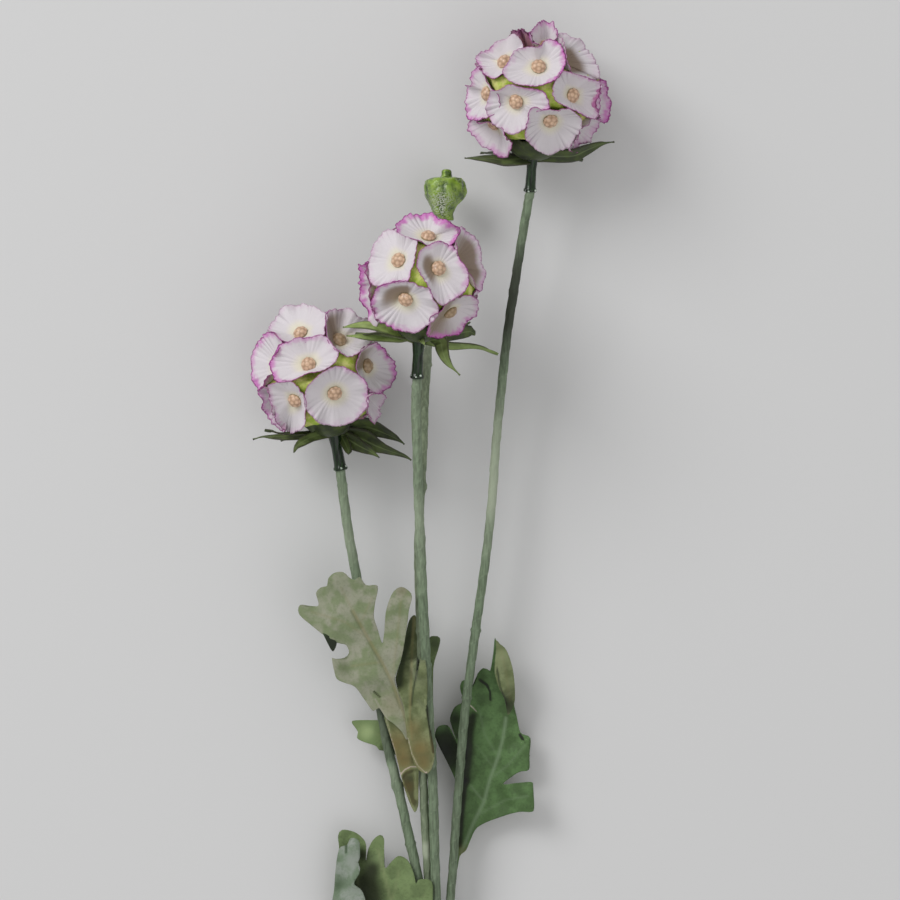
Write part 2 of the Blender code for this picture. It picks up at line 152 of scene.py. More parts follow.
def curve_point(before: Vector, start: Vector, end: Vector, after: Vector, share: float) -> Vector:
    """A point of the smooth curve through four points.

    Args:
        before: the point before the start.
        start: where the part in question starts.
        end: where it ends.
        after: the point after the end.
        share: the share of the way from start to end.

    Returns:
        The point.
    """
    cube, square = share**3, share**2
    return (
        start * (2 * cube - 3 * square + 1)
        + (end - before) * (cube - 2 * square + share) / 2
        + end * (3 * square - 2 * cube)
        + (after - start) * (cube - square) / 2
    )


def even_round(points: Sequence[Vector], count: int) -> list[Vector]:
    """A closed line's points at even distances along it.

    Args:
        points: the closed line.
        count: how many points to give back.

    Returns:
        The evenly spaced points.
    """
    ends = list(points[1:]) + [points[0]]
    lengths = [(end - start).length for start, end in zip(points, ends)]
    step = sum(lengths) / count
    found, walked, index = [], 0.0, 0
    for number in range(count):
        while walked + lengths[index] < number * step and index < len(points) - 1:
            walked += lengths[index]
            index += 1
        share = (number * step - walked) / max(lengths[index], 1e-9)
        found.append(points[index].lerp(ends[index], share))
    return found


class Ripple:
    """A smooth wave round a closed edge, the same at both ends of the turn."""

    def __init__(self, draw: random.Random, counts: Iterable[int]) -> None:
        """Draws a size and a phase for each number of waves round the edge."""
        self.waves = [(count, draw.uniform(0.6, 1.0), draw.random()) for count in counts]

    def at(self, turn: float) -> float:
        """The wave's height, within about 1 of 0, at a share of the turn."""
        total = sum(size * math.sin(math.tau * (count * turn + phase)) for count, size, phase in self.waves)
        return total / math.sqrt(len(self.waves))


class Recipe:
    """A material's node tree, made one node at a time."""

    def __init__(self, name: str) -> None:
        """Starts an empty material.

        Args:
            name: the material's name.
        """
        self.material = bpy.data.materials.new(name)
        self.material.use_nodes = True
        self.tree = self.material.node_tree
        self.tree.nodes.clear()

    def add(self, kind: str, settings: dict | None = None, links: dict | None = None) -> Node:
        """Adds one node.

        Args:
            kind: the node's type without its ShaderNode prefix.
            settings: input or property to value; "stops" is a colour ramp's (place, hex colour) pairs.
            links: input to the socket, or to the node whose first output, that feeds it.

        Returns:
            The new node.
        """
        node = self.tree.nodes.new("ShaderNode" + kind)
        for key, value in (settings or {}).items():
            if key == "stops":
                elements = node.color_ramp.elements
                while len(elements) < len(value):
                    elements.new(0.5)
                for element, (place, colour) in zip(elements, value):
                    element.position = place
                    element.color = linear(colour)
            elif isinstance(key, int) or key in node.inputs:
                is_colour = isinstance(value, str) and value.startswith("#")
                node.inputs[key].default_value = linear(value) if is_colour else value
            else:
                setattr(node, key, value)
        for key, source in (links or {}).items():
            socket = source if isinstance(source, NodeSocket) else source.outputs[0]
            self.tree.links.new(socket, node.inputs[key])
        return node

    def cloud(self, size: float, detail: float = 3.0, stretch: Point = (1, 1, 1)) -> NodeSocket:
        """Noise on object coordinates.

        Args:
            size: width in millimetres of one patch.
            detail: how much finer noise it holds.
            stretch: how many times longer the patches are along each axis.

        Returns:
            The noise, from 0 to 1.
        """
        where = self.add("TexCoord").outputs["Object"]
        scale = tuple(1000 / (size * times) for times in stretch)
        mapping = self.add("Mapping", {"Scale": scale}, {"Vector": where})
        return self.add("TexNoise", {"Scale": 1.0, "Detail": detail}, {"Vector": mapping}).outputs["Fac"]

    def range(self, value: NodeSocket, span: Span, curve: str = "SMOOTHSTEP") -> NodeSocket:
        """A value mapped from one range to another.

        Args:
            value: what is mapped.
            span: from low, from high, to low, to high.
            curve: the Map Range node's interpolation.

        Returns:
            The mapped value.
        """
        settings = {"interpolation_type": curve, 1: span[0], 2: span[1], 3: span[2], 4: span[3]}
        return self.add("MapRange", settings, {0: value}).outputs[0]

    def math(
        self, operation: str, first: NodeSocket, second: NodeSocket | float, clamp: bool = False
    ) -> NodeSocket:
        """One sum on two values.

        Args:
            operation: the Math node's operation.
            first: the first value.
            second: the second value, a socket or a number.
            clamp: whether the result is kept from 0 to 1.

        Returns:
            The result.
        """
        node = self.add("Math", {"operation": operation, "use_clamp": clamp}, {0: first})
        if isinstance(second, NodeSocket):
            self.tree.links.new(second, node.inputs[1])
        else:
            node.inputs[1].default_value = second
        return node.outputs[0]

    def mix(self, share: NodeSocket, first: NodeSocket | str, second: NodeSocket | str) -> NodeSocket:
        """Two colours mixed.

        Args:
            share: how much of the second there is.
            first: a socket or a hex colour.
            second: a socket or a hex colour.

        Returns:
            The mixed colour.
        """
        node = self.add("Mix", {"data_type": "RGBA"}, {0: share})
        for index, colour in ((6, first), (7, second)):
            if isinstance(colour, str):
                node.inputs[index].default_value = linear(colour)
            else:
                self.tree.links.new(colour, node.inputs[index])
        return node.outputs[2]

    def named(self, attribute: str) -> NodeSocket:
        """A number that the piece's mesh holds under that name."""
        return self.add("Attribute", {"attribute_name": attribute}).outputs["Fac"]

    def shade(self, links: dict, settings: dict | None = None, relief: Sequence[tuple] = ()) -> Material:
        """Ends the material with a Principled shader.

        Args:
            links: what feeds the shader.
            settings: the shader's constant inputs.
            relief: (height, depth in millimetres) of each bump.

        Returns:
            The finished material.
        """
        shader = self.add("BsdfPrincipled", settings, links)
        below = None
        for height, depth in relief:
            chain = {"Height": height} if below is None else {"Height": height, "Normal": below}
            below = self.add("Bump", {"Distance": depth / 1000, "Strength": 1.0}, chain).outputs[0]
        if below is not None:
            self.tree.links.new(below, shader.inputs["Normal"])
        self.add("OutputMaterial", None, {"Surface": shader})
        return self.material


@dataclass(frozen=True)
class CupCloth:
    """Polyester taffeta, pleated while hot and dyed along its cut edge."""

    name: str
    middle: str  # round the bead
    cloth: str
    painted_pleat_shade: str  # painted shade down in the pleats
    bleed: str  # of the dye that spreads into the cloth
    line: str  # of the dye at the cut edge
    crease: str = "#7B6449"  # painted shade of a wall that lies in shadow
    bleed_from: float = 0.78  # share of the way to the rim where the bleed starts
    line_from: float = 0.955  # and where the line starts

    def material(self) -> Material:
        """The cloth, with a soft pink bleed and a dark line at its rim that both come and go.

        Returns:
            The material.
        """
        recipe = Recipe(self.name)
        rim = recipe.add("SeparateXYZ", None, {0: recipe.add("UVMap", {"uv_map": "cup"})}).outputs[1]
        dye = recipe.named("dye")
        blotch = recipe.cloud(2.6)
        fine = recipe.cloud(0.8)
        ground = recipe.mix(recipe.range(rim, (0.22, 0.55, 0, 1)), self.middle, self.cloth)
        # Painted shade down in the pleats' troughs.
        ground = recipe.mix(recipe.range(recipe.named("pleat"), (-0.15, -1.0, 0, 0.55)), ground, self.painted_pleat_shade)
        wander = recipe.math("ADD", rim, recipe.range(blotch, (0.3, 0.7, -0.07, 0.07)))
        wander = recipe.math("ADD", wander, recipe.range(dye, (0.8, 3.0, 0, 0.08)))
        # Painted shade on the side of the inner wall that lies in shadow.
        ground = recipe.mix(recipe.range(recipe.named("crease"), (0, 1, 0, 0.85)), ground, self.crease)
        full = recipe.range(dye, (0.0, 1.15, 0, 1.15), "LINEAR")
        soft = recipe.math("MULTIPLY", recipe.range(wander, (self.bleed_from, 1.04, 0, 1)), full, clamp=True)
        ground = recipe.mix(soft, ground, self.bleed)
        ragged = recipe.math("ADD", rim, recipe.range(fine, (0.3, 0.7, -0.02, 0.02)))
        strength = recipe.math("MULTIPLY", recipe.range(dye, (0.0, 0.9, 0.35, 1)), 0.9)
        line = recipe.math("MULTIPLY", recipe.range(ragged, (self.line_from, 0.99, 0, 1)), strength)
        colour = recipe.mix(line, ground, self.line)
        # Cloth is matt with a faint sheen, and its weave of 0.25 mm shows only as a fine tooth.
        return recipe.shade(
            {"Base Color": colour, "Roughness": recipe.range(fine, (0.2, 0.8, 0.68, 0.88))},
            {"Sheen Weight": 0.15, "Sheen Roughness": 0.5, "Specular IOR Level": 0.3},
            [(fine, 0.10), (recipe.cloud(0.25, 1.0), 0.03)],
        )


@dataclass(frozen=True)
class PressedBead:
    """Hot-pressed polyethylene bead, tan, painted darker in its dimples as shade."""

    def material(self) -> Material:
        """A warm tan gloss that catches a small highlight on each knob, with painted shade in its dimples and
        at its foot.

        Returns:
            The material.
        """
        recipe = Recipe("polyethylene_bead_tan")
        knob = recipe.named("knob")
        wash = recipe.cloud(0.9)
        # Painted shade in the dimples between the knobs, lighter on the knobs.
        colour = recipe.mix(recipe.range(knob, (0.1, 0.75, 0, 1)), "#A8866A", "#DDBB9C")
        colour = recipe.mix(recipe.range(wash, (0.45, 0.75, 0, 0.5)), colour, "#C49A80")
        # Painted shade round the bead's foot, and over the whole bead in a cup's painted shade.
        colour = recipe.mix(recipe.range(recipe.named("skirt"), (0, 1, 0, 0.75)), colour, "#7C7048")
        return recipe.shade(
            {"Base Color": colour, "Roughness": recipe.range(wash, (0.3, 0.7, 0.28, 0.46))},
            {"Coat Weight": 0.25, "Coat Roughness": 0.2, "IOR": 1.5},
            [(wash, 0.05)],
        )


@dataclass(frozen=True)
class LimeFoam:
    """Flocked foam ball, dyed lime, that the cups are pinned to."""

    def material(self) -> Material:
        """A bright yellow green that pales in patches.

        Returns:
            The material.
        """
        recipe = Recipe("flocked_foam_lime")
        patch = recipe.cloud(3.2)
        grain = recipe.cloud(0.6)
        colour = recipe.mix(recipe.range(patch, (0.35, 0.65, 0, 1)), "#A9C53E", "#DFE08A")
        colour = recipe.mix(recipe.range(grain, (0.5, 0.8, 0, 0.5)), colour, "#8FAE3C")
        return recipe.shade({"Base Color": colour}, {"Roughness": 0.75}, [(grain, 0.15)])


@dataclass(frozen=True)
class BractCloth:
    """Starched cotton bract, dyed dark olive, its edges darker where the dye dried last."""

    def material(self) -> Material:
        """Near-black olive, and a mid green as painted light where a bract is lit.

        Returns:
            The material.
        """
        recipe = Recipe("starched_cotton_olive")
        patch = recipe.cloud(4.0)
        grain = recipe.cloud(0.5)
        dark = recipe.mix(recipe.range(patch, (0.35, 0.7, 0, 1)), "#2A3414", "#48581F")
        light = recipe.mix(recipe.range(patch, (0.35, 0.7, 0, 1)), "#7A8F45", "#A2B86E")
        # Painted light: the lighter green where a bract is lit.
        colour = recipe.mix(recipe.named("light"), dark, light)
        colour = recipe.mix(recipe.range(recipe.named("edge"), (0.72, 1.0, 0, 0.7)), colour, "#2B2417")
        rib = recipe.range(recipe.named("edge"), (0.0, 0.16, 0.35, 0))
        colour = recipe.mix(rib, colour, "#8A9C66")
        return recipe.shade(
            {"Base Color": colour, "Roughness": recipe.range(patch, (0.3, 0.7, 0.45, 0.65))},
            {"Sheen Weight": 0.1},
            [(grain, 0.08), (patch, 0.3)],
        )


@dataclass(frozen=True)
class NeckPlastic:
    """Injection-moulded polyethylene, bottle green."""

    def material(self) -> Material:
        """A dark wet-looking green with faint flow lines along the neck.

        Returns:
            The material.
        """
        recipe = Recipe("moulded_polyethylene_bottle_green")
        flow = recipe.cloud(0.9, stretch=(1, 9, 1))
        colour = recipe.mix(recipe.range(flow, (0.35, 0.7, 0, 1)), "#0A1607", "#1D3817")
        return recipe.shade(
            {"Base Color": colour, "Roughness": recipe.range(flow, (0.3, 0.7, 0.16, 0.32))},
            {"IOR": 1.42, "Coat Weight": 0.12, "Coat Roughness": 0.12},
            [(flow, 0.12)],
        )


@dataclass(frozen=True)
class HotGlue:
    """A bead of clear hot-melt glue."""

    def material(self) -> Material:
        """Milky and shiny, with a cloud of small bubbles.

        Returns:
            The material.
        """
        recipe = Recipe("hot_melt_glue_clear")
        bubble = recipe.cloud(0.7)
        colour = recipe.mix(recipe.range(bubble, (0.4, 0.6, 0, 1)), "#9FB3A2", "#DCE4DA")
        return recipe.shade({"Base Color": colour}, {"Roughness": 0.12, "IOR": 1.48}, [(bubble, 0.15)])


@dataclass(frozen=True)
class CrepeTape:
    """Waxed crepe paper, wound round the stem in a slope."""

    name: str
    dark: str
    light: str
    edge: str  # where one turn laps the next

    def material(self) -> Material:
        """Dull sage paper: streaky along the wrap, paler where one turn laps the next, with painted light and
        shade along the stem.

        Returns:
            The material.
        """
        recipe = Recipe(self.name)
        lap = recipe.named("lap")
        streak = recipe.cloud(0.8, stretch=(1, 7, 1))
        patch = recipe.cloud(6.0)
        colour = recipe.mix(recipe.range(streak, (0.3, 0.7, 0, 1)), self.dark, self.light)
        colour = recipe.mix(recipe.range(patch, (0.45, 0.8, 0, 0.4)), colour, self.edge)
        colour = recipe.mix(recipe.range(lap, (0.82, 1.0, 0, 0.5)), colour, self.edge)
        # The tone paints shade where the stem lies in shadow and light where it is lit; its few pale collars
        # are the tape's own.
        tone = recipe.named("tone")
        colour = recipe.mix(recipe.range(tone, (0.0, -1.0, 0, 0.85), "LINEAR"), colour, "#2B2D24")
        colour = recipe.mix(recipe.range(tone, (0.0, 1.0, 0, 0.85), "LINEAR"), colour, "#B9C1AB")
        return recipe.shade(
            {"Base Color": colour, "Roughness": recipe.range(patch, (0.3, 0.7, 0.55, 0.75))},
            {"Specular IOR Level": 0.4},
            [(streak, 0.07), (recipe.cloud(0.45), 0.06)],
        )


@dataclass(frozen=True)
class FrostedBudSkin:
    """Moulded soft plastic, lacquered green, with a dry brush of white frost."""

    def material(self) -> Material:
        """Wet leaf green, yellower on its knobs, with a crumbly white patch low on the upper side.

        Returns:
            The material.
        """
        recipe = Recipe("lacquered_soft_plastic_bud")
        fold = recipe.named("fold")
        patch = recipe.cloud(2.2)
        crumb = recipe.cloud(0.55, 4.0)
        colour = recipe.mix(recipe.range(fold, (-0.8, 0.8, 0, 1)), "#3C5810", "#86A632")
        colour = recipe.mix(recipe.range(patch, (0.45, 0.75, 0, 0.6)), colour, "#A3BC50")
        crumbs = recipe.range(crumb, (0.42, 0.56, 0, 1))
        frost = recipe.math("MULTIPLY", recipe.named("frost"), crumbs, clamp=True)
        colour = recipe.mix(frost, colour, "#D9DFD0")
        return recipe.shade(
            {"Base Color": colour, "Roughness": recipe.range(frost, (0, 1, 0.2, 0.7))},
            {"IOR": 1.45, "Coat Weight": 0.3, "Coat Roughness": 0.1},
            [(patch, 0.5), (crumb, 0.12)],
        )


@dataclass(frozen=True)
class LeafCloth:
    """Cotton leaf, printed on one side and flocked on the other."""

    name: str
    dark: str
    ground: str
    light: str
    vein: str
    deep: str  # in full shade
    pale: str  # at a cut edge
    rough: float

    def material(self) -> Material:
        """Mottled green whose veins, base, painted shade and painted light come from what the leaf's mesh
        holds.

        Returns:
            The material.
        """
        recipe = Recipe(self.name)
        mottle = recipe.cloud(5.0, 4.0)
        fleck = recipe.cloud(0.9)
        nap = recipe.cloud(0.35, 2.0)
        tone = recipe.named("tone")
        cloudy = recipe.cloud(11.0)
        colour = recipe.mix(recipe.range(mottle, (0.38, 0.62, 0, 1)), self.ground, self.light)
        colour = recipe.mix(recipe.range(cloudy, (0.42, 0.62, 0, 0.3)), colour, self.ground)
        colour = recipe.mix(recipe.range(fleck, (0.45, 0.75, 0, 0.25)), colour, self.dark)
        # The tone paints shade below 0, deep painted shade below -1, and above 0 paints light, up to the
        # cloth's own pale cut edge above 1.
        colour = recipe.mix(recipe.range(tone, (0.0, -1.0, 0, 1)), colour, self.dark)
        colour = recipe.mix(recipe.range(tone, (0.0, 1.0, 0, 1)), colour, self.light)
        colour = recipe.mix(recipe.math("MULTIPLY", recipe.named("rib"), 0.8, clamp=True), colour, self.vein)
        colour = recipe.mix(recipe.range(tone, (-1.0, -2.0, 0, 1)), colour, self.deep)
        worn = recipe.range(mottle, (0.2, 0.6, 0.6, 1))
        warm = recipe.math("MULTIPLY", recipe.named("ochre"), worn, clamp=True)
        colour = recipe.mix(warm, colour, "#77693F")
        colour = recipe.mix(recipe.range(tone, (1.0, 2.0, 0, 1)), colour, self.pale)
        rough = recipe.range(mottle, (0.3, 0.7, self.rough, self.rough + 0.12))
        return recipe.shade(
            {"Base Color": colour, "Roughness": rough},
            {"Sheen Weight": 0.12, "Specular IOR Level": 0.35},
            [(nap, 0.06), (fleck, 0.10), (mottle, 0.25)],
        )


class Finishes:
    """Every material of the spray, made once."""

    def __init__(self) -> None:
        """Makes the materials."""
        # The third colour of each cloth is painted shade down in its pleats.
        face = CupCloth("taffeta_face_white", "#E3DDC9", "#D9D3D7", "#A69DA5", "#CB7DBE", "#8C2F78")
        back = CupCloth("taffeta_back_blush", "#CFC3B8", "#D6CBD2", "#A08C98", "#B872A2", "#7A3763")
        hem = CupCloth("taffeta_cut_edge", "#B66AA2", "#B66AA2", "#8A3A78", "#A8488F", "#8E2E7C")
        # The frayed cloth is painted dark, as shade on a fringe that lies in shadow.
        frayed = CupCloth("taffeta_frayed_painted_shade", "#A8807C", "#B4848C", "#6A4650", "#A65E92", "#6E2E58")
        self.cup = [face.material(), back.material(), hem.material()]
        self.fringe = [frayed.material()] * 3
        self.bead = PressedBead().material()
        self.core = LimeFoam().material()
        self.bract = BractCloth().material()
        self.neck = NeckPlastic().material()
        self.glue = HotGlue().material()
        self.tape = CrepeTape("crepe_paper_sage", "#58664F", "#77896E", "#8F9E84").material()
        self.old_tape = CrepeTape("crepe_paper_grey_green", "#626E56", "#828F74", "#98A389").material()
        self.bud = FrostedBudSkin().material()
        dyes = {
            Side.SAGE: ("#5A6446", "#7C8865", "#9A9B88", "#857E55", "#23290F", "#B9B2A2", 0.8),
            # painted shade: the sage darkened for leaves that lie in shadow
            Side.SHADED: ("#39422A", "#606A44", "#7F8862", "#857E55", "#1F240F", "#B5A898", 0.8),
            Side.GREY: ("#46583F", "#6F8069", "#949B92", "#7F8A78", "#1E2610", "#B4B8B0", 0.8),
            Side.GREEN: ("#1C280F", "#446032", "#597947", "#7B9170", "#0E130A", "#B7ABA0", 0.55),
            Side.OLIVE: ("#232C0F", "#5F7146", "#738757", "#858F63", "#151A0A", "#9AAC78", 0.6),
        }
        self.leaf = {side: LeafCloth(side.value, *dye).material() for side, dye in dyes.items()}


class Maker:
    """Turns finished shapes into pieces that ride on the spray's one body."""

    def __init__(self, finishes: Finishes) -> None:
        """Starts with no pieces.

        Args:
            finishes: the materials that the pieces share.
        """
        self.finishes = finishes
        self.count = 0
        self.triangles = 0

    def piece(
        self,
        name: str,
        shape: BMesh,
        slot: Slot,
        materials: Sequence[Material],
        replaces: Sequence[str] = (),
        wall: float = 0.0,
    ) -> Object:
        """Makes an object of a shape in millimetres.

        Args:
            name: the piece's name.
            shape: the shape, which is used up.
            slot: the record's slot that the finish belongs to. Not used.
            materials: face, back and edge of a sheet, or one material.
            replaces: the CAD nodes that it stands for.
            wall: a sheet's thickness, grown downwards from its face.

        Returns:
            The new object.
        """
        bmesh.ops.transform(shape, matrix=PLAN_TO_FRAME, verts=shape.verts)
        mesh = bpy.data.meshes.new(name)
        shape.to_mesh(mesh)
        shape.free()
        mesh.shade_smooth()
        for material in materials:
            mesh.materials.append(material)
        made = bpy.data.objects.new(name, mesh)
        bpy.context.scene.collection.objects.link(made)
        if wall:
            sheet = made.modifiers.new("wall", "SOLIDIFY")
            sheet.thickness = wall / 1000
            sheet.offset = -1.0
            sheet.material_offset = 1
            sheet.material_offset_rim = 2
        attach(made, "root")
        if replaces:
            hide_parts(*replaces)
        self.count += 1
        faces = sum(len(face.vertices) - 2 for face in mesh.polygons)
        self.triangles += faces * (2 if wall else 1)
        log.info("%s: %d triangles", name, faces)
        return made


def spun(profile: Sequence[Place], steps: int) -> BMesh:
    """A shape turned about Z.

    Args:
        profile: each point's radius and height, from the axis and, if the shape is closed, back to it.
        steps: how many steps the turn has.

    Returns:
        The shape.
    """
    shape = bmesh.new()
    points = [shape.verts.new((radius, 0, height)) for radius, height in profile]
    edges = [shape.edges.new(pair) for pair in zip(points, points[1:])]
    turn = {"cent": (0, 0, 0), "axis": (0, 0, 1), "angle": math.tau, "steps": steps, "use_merge": True}
    bmesh.ops.spin(shape, geom=points + edges, **turn)
    bmesh.ops.remove_doubles(shape, verts=shape.verts, dist=1e-4)
    bmesh.ops.recalc_face_normals(shape, faces=shape.faces)
    return shape


def refine(shape: BMesh, longest: float) -> None:
    """Halves a shape's long edges, twice over.

    Args:
        shape: the shape.
        longest: the length that an edge may keep.
    """
    for _ in range(2):
        long_edges = [edge for edge in shape.edges if edge.calc_length() > longest]
        bmesh.ops.subdivide_edges(shape, edges=long_edges, cuts=1, use_grid_fill=True)


def held(shape: BMesh, *names: str) -> list[BMLayerItem]:
    """New numbers that each corner of a shape holds for its material, 0 until they are set."""
    return [shape.verts.layers.float.new(name) for name in names]


def join_into(target: BMesh, shape: BMesh) -> None:
    """Adds a shape to another.

    Args:
        target: what is added to.
        shape: what is added, which is used up.
    """
    mesh = bpy.data.meshes.new("part")
    shape.to_mesh(mesh)
    shape.free()
    target.from_mesh(mesh)
    bpy.data.meshes.remove(mesh)


def kept_under(shape: BMesh, cover: BVHTree, centre: Vector, gap: float) -> None:
    """Pulls a shape in towards a centre wherever it would come through the cloth over it.

    Args:
        shape: what is pulled in.
        cover: the cloth.
        centre: the point that the cloth lies round.
        gap: the least room between the two.
    """
    for corner in shape.verts:
        offset = corner.co - centre
        hit = cover.ray_cast(centre, offset.normalized())[3]
        if hit is not None and offset.length > hit - gap:
            corner.co = centre + offset * ((hit - gap) / offset.length)


def laid_along(direction: Vector, centre: Vector) -> Matrix:
    """The matrix that lays +Z along a direction, at a centre."""
    return Matrix.Translation(centre) @ direction.to_track_quat("Z", "Y").to_matrix().to_4x4()


@dataclass(frozen=True)
class Cup:
    """One floret: a cloth cup.

    Attributes:
        row: the row of its head that it stands in.
        tip: degrees from the head's tip.
        around: degrees round from the head's upper side to the right.
        rim: where the picture shows its rim, clockwise, each with how far in it is tucked if it is hidden. A
            cup without it lies behind the seen ones.
        dye: how strongly its rim is dyed.
        deep: how much further in its floor lies.
        lit_dye: a picture direction in degrees, up being 0 and right 90, where the dye is strongest.
        bead: where the picture shows its bead, which then sets its middle.
        crease: a picture direction in degrees where painted shade lies on its wall, the share of the wall
            where that ends, and the cosine where it fades out at the sides.
        frayed: whether its rim is torn into a fringe, painted dark as the shade it lies in, with no bead.
    """

    row: Row
    tip: float
    around: float
    rim: tuple[tuple[float, ...], ...] = ()
    dye: float = 0.6
    deep: float = 0.0
    lit_dye: float | None = None
    bead: Place | None = None
    crease: Point | None = None
    frayed: bool = False

    def bead_in_painted_shade(self) -> bool:
        """Whether the painted shade on its wall reaches so far that its bead is painted in shade too."""
        return self.crease is not None and self.crease[1] >= 1.0


@dataclass(frozen=True)
class Bract:
    """One bract at the back of a whorl.

    Attributes:
        around: degrees round from the head's upper side to the right.
        reach: how far its tip is from the head's axis.
        rise: how far its tip rises towards the head.
        light: how much of the lighter green it has, as painted light where it is lit.
        wide: its half width.
    """

    around: float
    reach: float
    rise: float
    light: float = 0.0
    wide: float = 4.6


@dataclass(frozen=True)
class SeenBract:
    """One bract of a whorl, as the picture shows it.

    Attributes:
        line: its middle from the hub to its tip, each a picture place and the half width there in pixels.
        lift: how far its tip is above the hub.
        tilt: degrees that its face is turned away from the camera.
        light: how much of the lighter green it has, as painted light where it is lit.
    """

    line: tuple[Point, ...]
    lift: float
    tilt: float = 45.0
    light: float = 0.0


CUP_SPOKES = 132
CUP_RINGS = (0.0, 0.16, 0.3, 0.43, 0.55, 0.66, 0.76, 0.84, 0.91, 0.96, 1.0)
CUP_FLOOR = 21.4  # from the head's centre
RIM_RADIUS = 26.9  # from the head's centre, where a rim is seen on the ball
CUP_WALL = 0.22
PLEAT_HEIGHT = 0.42
FRILL_HEIGHT = 0.75  # of the rim's slow waves
NIBBLE = 0.17  # how far the cut edge wanders
TORN_NIBBLE = 0.7
LEAST_SPREAD = math.radians(17)
MOST_SPREAD = math.radians(34)
SPREAD_LAP = 1.12
HIDDEN_CORNERS = 14  # of a hidden cup's rim
HIDDEN_DROP = 3.4  # how far in a hidden rim lies under a seen cup
HIDDEN_FROM = (math.radians(24), math.radians(34))  # from a seen cup's middle, where that ends
OUTLINE_GAP = 1.2  # between the head's outline and a hidden rim
BEAD_MIDDLE = 1.4  # of a bead above its cup's floor
COVER_GAP = 0.75  # between the cloth and the ball
LAP_GAP = 0.6  # between a seen cup and what is tucked under it
TUCK = -2.4  # what a rim is moved in where a neighbour covers it
LEAST_CLEARANCE = 0.45  # of cloth above the surface


